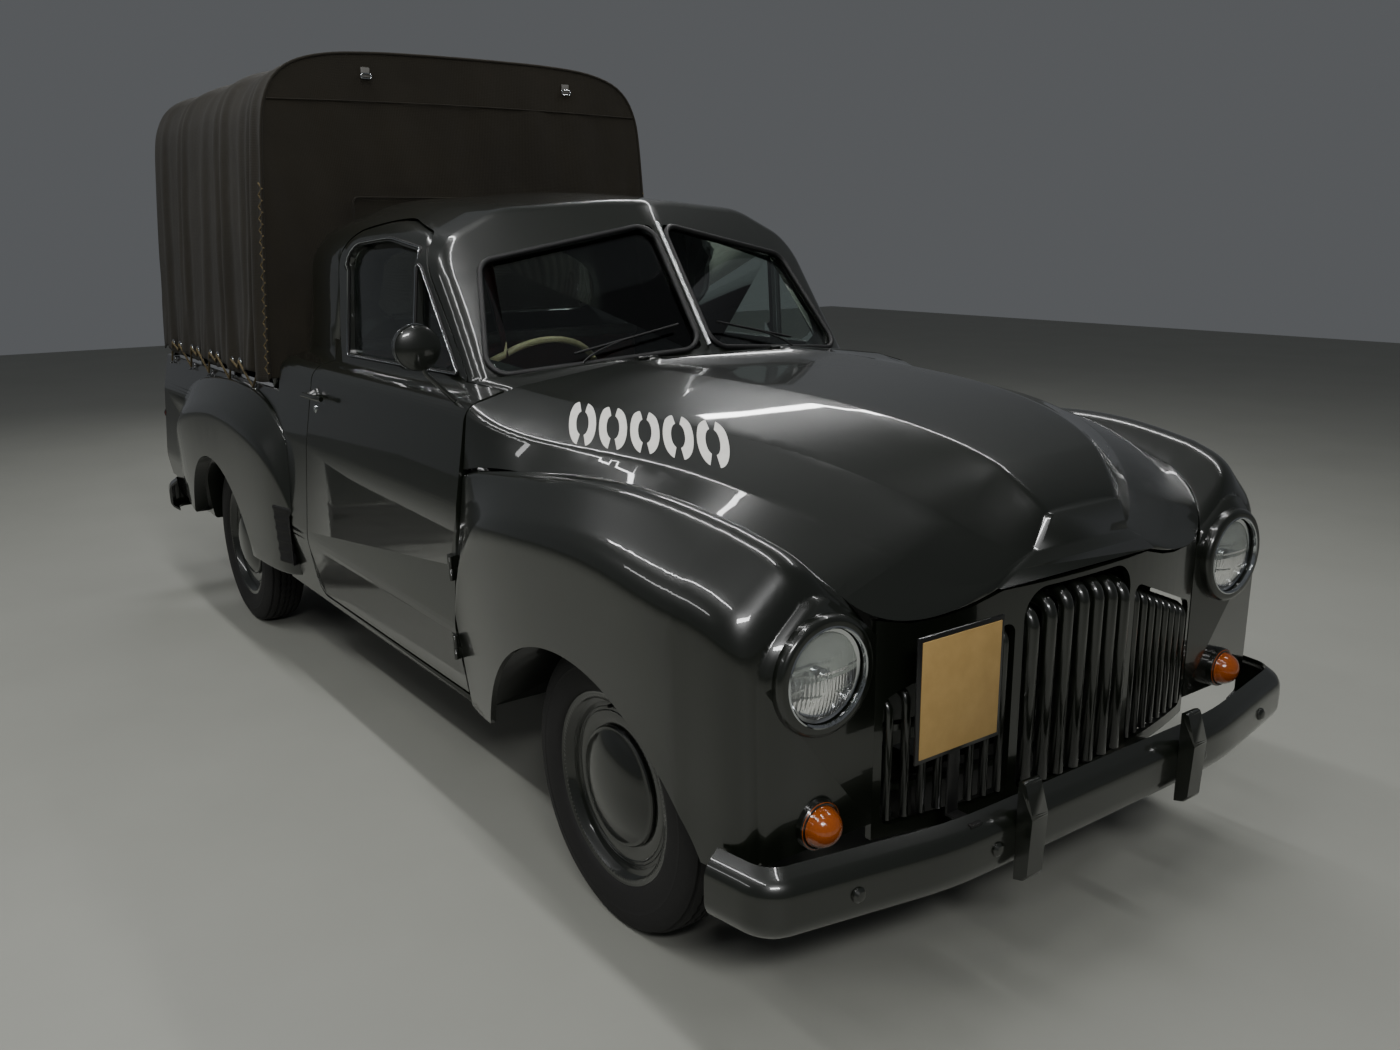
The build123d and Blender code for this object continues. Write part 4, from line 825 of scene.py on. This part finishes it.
def canopy_point(along, share):
    """A point of the sheet from its share along the length and round the section."""
    x = FRONT_X + (REAR_X - FRONT_X) * along
    spot, normal = section_point(share)
    if normal.y < 0 and abs(share) < 0.3:
        normal = -normal
    outward = Vector((normal.x, normal.y))
    if outward.x * spot.x < 0 or (abs(spot.x) < 5 and outward.y < 0):
        outward = -outward
    bay = next((i for i in range(len(HOOPS) - 1) if HOOPS[i + 1] <= x <= HOOPS[i]), None)
    sag = 0.0
    if bay is not None:
        sag = -9.0 * math.sin(math.pi * (HOOPS[bay] - x) / (HOOPS[bay] - HOOPS[bay + 1])) ** 2
    side = -1 if share < 0 else 1
    drop = min(max((SHOULDER_Z - spot.y) / (SHOULDER_Z - HEM_Z), 0), 1)
    ripple = 1.6 * math.sin(x / 61.0 + share * 9) * math.sin(share * 23 + x / 210)
    push = sag * (1 - 0.4 * drop) + fold_depth(x, drop, side) + ripple
    if along in (0.0, 1.0):
        push = min(push, 0)
    hem = 0.0
    if abs(share) > 0.96:
        hem = 14.0 * (abs(share) - 0.96) / 0.04 * math.sin(x / 47.0 + side)
    return place(x, spot.x + outward.x * push, spot.y + outward.y * push + hem)


def cloth_sheet(name, segments, shares_of, in_metres, in_space, offset):
    """A fine grid gets its own map in metres and a place in space, and is thickened to canvas."""
    bm = bmesh.new()
    verts = bmesh.ops.create_grid(bm, x_segments=segments[0], y_segments=segments[1], size=1.0)["verts"]
    uv = bm.loops.layers.uv.new("cloth")
    shares = {vert: shares_of(vert.co) for vert in verts}
    for face in bm.faces:
        for loop in face.loops:
            loop[uv].uv = [share * size for share, size in zip(shares[loop.vert], in_metres)]
    for vert, pair in shares.items():
        vert.co = in_space(*pair)
    mesh = bpy.data.meshes.new(name)
    bm.normal_update()
    bm.to_mesh(mesh)
    bm.free()
    piece = keep(mesh, name, proofed_duck, crease=SOFT_CREASE)
    canvas = piece.modifiers.new("cloth", "SOLIDIFY")
    canvas.thickness = CANVAS_THICK
    canvas.offset = offset
    print(name, len(mesh.polygons))
    return piece


canopy = cloth_sheet("canopy_sheet", (ROWS_ALONG, ROWS_ROUND), lambda spot: ((spot.x + 1) / 2, spot.y),
                     ((FRONT_X - REAR_X) * MM, HALF_ROUND * MM), canopy_point, -1.0)
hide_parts("canopy")

# %% [markdown]
# The front sheet fills the arch behind the cab. It is laid out by blending its four edges: the hem, the two
# sides and the crown, which are all on the same section. Shallow creases run down from the crown.

# %% The front sheet
CROWN_SHARE = 0.56
hem_spot = section_point(1.0)[0]


def front_point(u, v):
    """A point of the front sheet; u runs from -1 at the right to 1, and v from 0 at the hem to 1."""
    side_share = 1.0 - v * (1.0 - CROWN_SHARE)
    left = section_point(side_share)[0]
    crown = section_point(u * CROWN_SHARE)[0]
    corner = section_point(CROWN_SHARE)[0]
    low = Vector((u * hem_spot.x, hem_spot.y))
    blend_y = (1 - v) * low.x + v * crown.x + u * left.x - ((1 - v) * u * hem_spot.x + v * u * corner.x)
    blend_z = (1 - v) * low.y + v * crown.y + left.y - ((1 - v) * hem_spot.y + v * corner.y)
    edge = (1 - u * u) * min(v, 1 - v) * 4
    crease = 4.0 * math.sin(u * 7 + 3 * v) * math.sin(v * 5 + u * 2) + 2.2 * math.sin(u * 31 + 6 * v)
    sag = -10.0 * edge
    gather = 5.0 * max(0.18 - v, 0) / 0.18 * math.sin(u * 46)
    return place(FRONT_X + 1.5 + min(crease * min(edge * 2, 1) + gather, 8) + sag * 0.5, blend_y, blend_z)


front = cloth_sheet("canopy_front", (160, 120), lambda spot: (spot.x, (spot.y + 1) / 2), (0.76, 1.05),
                    front_point, 0.0)

# %% [markdown]
# A rope piping runs round the arch where the two sheets meet, small ties lace the near corner, and a zigzag
# lashing pulls the hem down to hooks under the tray's rail. They are short fixed lines, so each is a plain
# strip.

# %% Piping, laces and lashings
arch = [place(FRONT_X + 2, *section_point(k / 60)[0]) for k in range(-60, 61)]
strip("arch_piping", arch, 5, proofed_duck)
for side, name in SIDES:
    lace = []
    for k in range(34):
        spot = section_point(side * (0.62 + 0.37 * k / 33))[0]
        x = FRONT_X + 7 if k % 2 else FRONT_X - 16
        lace.append(place(x, spot.x + side * (1 if k % 2 else 6), spot.y))
    strip("corner_lacing_" + name, lace, 3.0, hemp_rope)

HOOK_X = [-2253, -2543, -2830, -3099, -3418]
HOOK_Z, HOOK_Y, EYELET_Z = 940, 750, 1016
EYELET_ROWS = [(0, 7), (3, 8), (4, 10), (3, 13), (0, 14)]
for side, name in SIDES:
    line = []
    for i, x in enumerate(HOOK_X):
        line.append(place(x, side * (HOOK_Y + 12), HOOK_Z))
        if i + 1 < len(HOOK_X):
            gap = HOOK_X[i + 1] - x
            line.append(place(x + gap * 0.33, side * 776, EYELET_Z + 6))
            line.append(place(x + gap * 0.5, side * 768, EYELET_Z - 22))
            line.append(place(x + gap * 0.67, side * 776, EYELET_Z + 6))
    line.insert(0, place(-2120, side * 774, EYELET_Z))
    strip("hem_lashing_" + name, line, 4.0, hemp_rope)
    bm = bmesh.new()
    for x in HOOK_X:
        foot = place(x, side * 748, 946)
        spin(bm, [(0, 0), (0, 9), (4, 8), (5, 0)], foot, ALONG_Y * side, UP, 16)
        rounded_box(bm, place(x - 4, side * 750 - 4, 930), place(x + 4, side * 750 + side * 2 + 4, 950), 2, 2)
        rounded_box(bm, place(x - 4, min(side * 750, side * 772), 928),
                    place(x + 4, max(side * 750, side * 772), 934), 2, 2)
    close(bm, "tray_hooks_" + name, olive_enamel)
    bm = bmesh.new()
    for i, x in enumerate(HOOK_X[:-1]):
        gap = HOOK_X[i + 1] - x
        for share in (0.33, 0.67):
            spot = place(x + gap * share, side * 771, EYELET_Z + 6)
            spin(bm, EYELET_ROWS, spot, ALONG_Y * side, UP, 20, ring=True)
    close(bm, "hem_eyelets_" + name, chrome)
print("lashings", 2)

# %% [markdown]
# Two small buckled loops are sewn near the crown of the front sheet, for tying up its flap. The flap's
# edges are raised seams. Behind, the rear curtain is rolled up and held by straps.

# %% Loops, seams and the rolled curtain
for y, z in ((-360, 1972), (397, 1963)):
    boxes(f"loop_strap_{y}", grey_cloth,
          [((FRONT_X + 3, y - 15, z - 20), (FRONT_X + 9, y + 15, z + 12))], 2, 2)
    ring = [place(FRONT_X + x, y + across, z - down)
            for x, across, down in ((13, -17, 8), (13, -17, 24), (15, 17, 24), (13, 17, 8))]
    strip(f"loop_ring_{y}", round_corners(ring, 6), 2.4, chrome, closed=True)
FLAP = [(-434, 1040), (-434, 1570), (434, 1570), (434, 1040)]
seam = [place(FRONT_X + 5, y, z) for y, z in FLAP]
strip("flap_seam", round_corners(seam, 20, closed=False), 3.0, proofed_duck)
crown_seam = [place(FRONT_X + 5, y, 1880 - 0.00002 * y * y) for y in range(-690, 691, 60)]
strip("crown_seam", crown_seam, 2.2, proofed_duck)
ROLL_X, ROLL_Z, STRAP_OUT = REAR_X + 42, 1962, 43
roll = [place(ROLL_X, y, ROLL_Z + 4 * math.sin(y / 120)) for y in range(-560, 561, 40)]
strip("rolled_curtain", roll, 40, proofed_duck, smooth=True)
for y in (-400, 0, 400):
    loop_line = [place(ROLL_X + STRAP_OUT * math.cos(a / 10), y, ROLL_Z + STRAP_OUT * math.sin(a / 10))
                 for a in range(0, 63, 3)]
    strip(f"curtain_strap_{y}", loop_line, 5, grey_cloth, closed=True)
print("canopy trim done")

# %% [markdown]
# The bench seat is a long cushion and a back rest in maroon coated cloth with a lighter top. Real
# upholstery is a cover pulled over springs: it swells, and its sides pull in. Cloth simulation with air
# pressure gives that.

# %% Padded bench seat
SEAT_BODIES = [
    ("seat_cushion", (-1822, -548, 486), (-1326, 548, 630), leathercloth, 14),
    ("seat_back", (-1915, -548, 668), (-1805, 548, 1090), leathercloth, 10),
]


def padded(name, low, high, material, cap):
    """A slab is remeshed, swollen by a cloth simulation and capped at a few millimetres of movement."""
    bm = bmesh.new()
    rounded_box(bm, place(*low), place(*high), 34, 4)
    piece = close(bm, name, material, "body", math.radians(80))
    voxels = piece.modifiers.new("voxels", "REMESH")
    voxels.mode = "VOXEL"
    voxels.voxel_size = 0.016
    bpy.context.view_layer.objects.active = piece
    bpy.ops.object.modifier_apply(modifier="voxels")
    rest = [v.co.copy() for v in piece.data.vertices]
    cloth = piece.modifiers.new("swell", "CLOTH")
    cloth.settings.use_pressure = True
    cloth.settings.uniform_pressure_force = 4.0
    cloth.settings.effector_weights.gravity = 0.0
    for frame_number in range(1, 21):
        bpy.context.scene.frame_set(frame_number)
    moved = piece.evaluated_get(bpy.context.evaluated_depsgraph_get()).data
    swollen = [v.co.copy() for v in moved.vertices]
    piece.modifiers.remove(cloth)
    for vert, start, end in zip(piece.data.vertices, rest, swollen):
        shift = end - start
        vert.co = start + shift * min(1.0, cap * MM / max(shift.length, 1e-9))
    bpy.context.scene.frame_set(1)
    smoother = piece.modifiers.new("smoother", "SUBSURF")
    smoother.levels = 1
    smoother.render_levels = 1
    return piece


for name, low, high, material, cap in SEAT_BODIES:
    seat = padded(name, low, high, material, cap)
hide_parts("cab_seat")
bm = bmesh.new()
rounded_box(bm, place(-1800, -518, 336), place(-1362, -98, 470), 12)
rounded_box(bm, place(-1800, 98, 336), place(-1362, 518, 470), 12)
rounded_box(bm, place(-1926, -540, 640), place(-1916, 540, 1085), 4)
close(bm, "seat_base", satin_black)
boxes("seat_top_roll", grey_cloth, [((-1888, -552, 1072), (-1822, 552, 1112))], 18, 4)
print("seat", len(SEAT_BODIES))

# %% [markdown]
# Inside, the driver sees a round instrument set in the painted dash, with knobs beside it, three spokes and
# a horn button on the wheel, and rubber pedals. They are small but show through the glass.

# %% Dashboard and controls
DASH_FACE = -862
for y, radius in ((-350, 52), (-240, 26), (-460, 26)):
    centre = place(DASH_FACE + 14, y, 955)
    spun(f"gauge_case_{-y}", bakelite, [(0, 0), (0, radius), (18, radius), (20, radius - 5), (16, radius - 7),
         (15, 0)], centre, -ALONG_X, UP, 40)
    spun(f"gauge_face_{-y}", ivory, [(15.5, radius - 8), (16.5, radius - 8), (16.5, 0)], centre,
         -ALONG_X, UP, 40)
for y in (-150, -90, 90, 150):
    spun(f"dash_knob_{y}", bakelite, [(0, 0), (0, 5), (16, 5), (18, 12), (28, 11), (30, 0)],
         place(DASH_FACE + 10, y, 915), -ALONG_X, UP, 20)
column_lean = math.radians(35)
hub = place(-1000, -350, 1000)
wheel_axis = Vector((-math.cos(column_lean), 0, math.sin(column_lean)))
spun("horn_button", chrome, [(16, 0), (16, 34), (22, 32), (27, 22), (29, 0)], hub, wheel_axis, ALONG_Y, 32)
for y, name in ((-430, "clutch"), (-330, "brake")):
    boxes("pedal_pad_" + name, ribbed_rubber, [((-760, y - 32, 470), (-748, y + 32, 520))], 4, 2)
    strip("pedal_arm_" + name, [place(-748, y, 495), place(-680, y, 520), place(-577, y, 440)], 8,
          satin_black, smooth=True)
print("dash and controls")

# %% [markdown]
# The bumpers are bolted on with round-headed bolts, and a blank board for a unit sign stands on a small
# bracket in front of the grille. The board is painted plywood with a dark edge.

# %% Bumper bolts and the blank board
BOLT_ROWS = [(-2, 0), (-2, 15), (3, 14.5), (8, 9), (10, 0)]
for name, node, x, z, places, out in (
        ("bumper_bolts", "front_bumper", 800, 345, (-640, -330, 330, 640), ALONG_X),
        ("rear_bumper_bolts", "rear_bumper", -3800, 355, (-400, 400), -ALONG_X)):
    bumper_skin = surface(node)
    bm = bmesh.new()
    for y in places:
        spin(bm, BOLT_ROWS, skin(bumper_skin, place(x, y, z), -out), out, UP, 24)
    close(bm, name, olive_enamel)

BOARD_LOW, BOARD_HIGH = (617, -486, 528), (623, -262, 766)
boxes("sign_board_edge", bakelite, [(BOARD_LOW, BOARD_HIGH)], 2, 2)
boxes("sign_board_face", tan_board,
      [((622, BOARD_LOW[1] + 9, BOARD_LOW[2] + 9), (625, BOARD_HIGH[1] - 9, BOARD_HIGH[2] - 9))], 1, 2)
boxes("sign_bracket", satin_black,
      [((610, -389, 402), (616.5, -359, 700)), ((610, -389, 398), (676, -359, 404))], 2, 2)
print("bumper bolts and board")

# %% [markdown]
# White numbers were sprayed through a stencil on the bonnet's flank, so every figure has gaps where the
# stencil was bridged. A plain row of noughts keeps the look. Each half ring is laid out flat, slanted, and
# dropped on the bonnet's skin from above, so that the paint follows the swell of the panel.

# %% Stencilled figures
FIGURE_COUNT = 5
FIGURE_LOW, FIGURE_HIGH = (-262, -664), (-425, -556)
FIGURE_RUN = (446, 118)
FIGURE_SHARE, STROKE_SHARE = 0.90, 0.36
RING_STEPS = 20
bonnet_skin = surface("bonnet")


def on_flank(along, rise):
    """A point on the bonnet from its share along the row of figures and up them."""
    x = FIGURE_LOW[0] + FIGURE_RUN[0] * along + (FIGURE_HIGH[0] - FIGURE_LOW[0]) * rise
    y = FIGURE_LOW[1] + FIGURE_RUN[1] * along + (FIGURE_HIGH[1] - FIGURE_LOW[1]) * rise
    return skin(bonnet_skin, place(x, y, 1400), -UP, 0.7)


bm = bmesh.new()
for i in range(FIGURE_COUNT):
    for turn in (-1, 1):
        rows = []
        for k in range(RING_STEPS + 1):
            angle = math.radians(14 + 152 * k / RING_STEPS)
            row = []
            for share in (1 - STROKE_SHARE * 1.5, 1 - STROKE_SHARE * 0.75, 1.0):
                side_shift = turn * math.sin(angle) ** 0.8 * share * FIGURE_SHARE / 2
                lift = math.cos(angle) * (0.5 - 0.16 * (1 - share) / STROKE_SHARE)
                row.append(bm.verts.new(on_flank((i + 0.5 + side_shift) / FIGURE_COUNT, 0.5 + lift)))
            rows.append(row)
        for low_row, high_row in zip(rows, rows[1:]):
            for j in range(2):
                corners = (low_row[j], high_row[j], high_row[j + 1], low_row[j + 1])
                bm.faces.new(corners if turn < 0 else corners[::-1])
bm.normal_update()
if sum(face.normal.z for face in bm.faces) < 0:
    bmesh.ops.reverse_faces(bm, faces=bm.faces)
mesh = bpy.data.meshes.new("stencilled_figures")
bm.to_mesh(mesh)
bm.free()
keep(mesh, "stencilled_figures", stencil_white, "bonnet")
print("figures", FIGURE_COUNT)

# %% [markdown]
# A ribbed rubber guard covers the front face of each rear fender, where the tyre throws stones. It is a
# small grid dropped on the fender's skin, with five ribs raised across it.

# %% Stone guards
for side, name in SIDES:
    tree = surface("rear_fender_" + name)
    bm = bmesh.new()
    verts = bmesh.ops.create_grid(bm, x_segments=16, y_segments=60, size=1.0)["verts"]
    for vert in verts:
        x = -1900 + vert.co.x * 48
        z = 490 + vert.co.y * 98
        rib = 3.0 * max(0.0, math.sin((vert.co.y + 1) * math.pi * 5.5)) ** 0.7
        edge = 0 if max(abs(vert.co.x), abs(vert.co.y)) > 0.97 else 1
        spot = skin(tree, place(x, side * 1000, z), ALONG_Y * -side, edge * (2.5 + rib) - 0.2)
        vert.co = spot if spot is not None else place(x, side * 800, z)
    close(bm, "stone_guard_" + name, ribbed_rubber, crease=math.radians(50))
print("stone guards", 2)

# %% [markdown]
# The tailgate is a flat panel stiffened by pressed ribs, with a blank plate and two drop-handle latches.

# %% Tailgate details
TAIL_FACE = -3597
bm = bmesh.new()
for y0, y1 in ((-690, -240), (-200, 200), (240, 690)):
    for z in (610, 890):
        rounded_box(bm, place(TAIL_FACE - 5, y0, z), place(TAIL_FACE + 2, y1, z + 18), 3)
close(bm, "tailgate_ribs", olive_enamel, "tailgate")
boxes("blank_plate", blank_plate,
      [((TAIL_FACE - 6, -190, 700), (TAIL_FACE - 1, 190, 810))], 2, 2, body="tailgate")
for side, name in SIDES:
    bm = bmesh.new()
    rounded_box(bm, place(TAIL_FACE - 8, side * 690 - 14, 860),
                place(TAIL_FACE + 2, side * 690 + 14, 946), 3, 2)
    spin(bm, [(0, 0), (0, 9), (22, 9), (24, 0)], place(TAIL_FACE - 4, side * 690, 925), -ALONG_X, UP, 20)
    close(bm, "tailgate_latch_" + name, satin_black, "tailgate")
print("tailgate details")

# %% [markdown]
# The floor is plain and pale. A glossy dark car is lit by what it mirrors, so the light is soft and comes
# from long panels overhead, whose images run along the body as the bright streaks that show its shape.

# %% Floor and studio light
bm = bmesh.new()
bmesh.ops.create_grid(bm, x_segments=1, y_segments=1, size=14.0)
mesh = bpy.data.meshes.new("studio_floor")
bm.to_mesh(mesh)
bm.free()
floor = bpy.data.objects.new("studio_floor", mesh)
bpy.context.scene.collection.objects.link(floor)
floor_finish = plain_finish("pale_studio_floor", "#93948c", "#9fa098", 1.5, 0.0002, {"Roughness": 0.6})
mesh.materials.append(floor_finish)

PANELS = [
    ("overhead_right", (0.6, -3.0, 3.9), (0.12, 6.0), 80),
    ("overhead_left", (0.2, 1.9, 4.1), (0.14, 6.0), 90),
    ("overhead_middle", (0.6, -0.9, 4.4), (0.12, 6.0), 80),
    ("front_soft", (5.2, -2.6, 3.4), (1.6, 0.4), 95),
    ("side_soft", (-0.6, -5.6, 3.2), (5.0, 0.2), 22),
    ("back_soft", (-5.5, 2.0, 3.4), (3.0, 0.5), 60),
]
LIGHT_TARGET = Vector((0.2, 0, 0.8))
for name, spot, size, power in PANELS:
    light = bpy.data.lights.new(name, "AREA")
    light.shape = "RECTANGLE"
    light.size, light.size_y = size
    light.energy = power
    lamp = bpy.data.objects.new(name, light)
    lamp.location = spot
    if name.startswith("overhead"):
        lamp.rotation_euler = (0, 0, math.pi / 2)
    else:
        aim = (LIGHT_TARGET - Vector(spot)).normalized()
        lamp.rotation_euler = aim.to_track_quat("-Z", "Y").to_euler()
    bpy.context.scene.collection.objects.link(lamp)
world = bpy.data.worlds.new("studio")
world.use_nodes = True
world.node_tree.nodes["Background"].inputs["Color"].default_value = linear("#cfd3d8")
world.node_tree.nodes["Background"].inputs["Strength"].default_value = 0.16
bpy.context.scene.world = world
print("lights", len(PANELS))
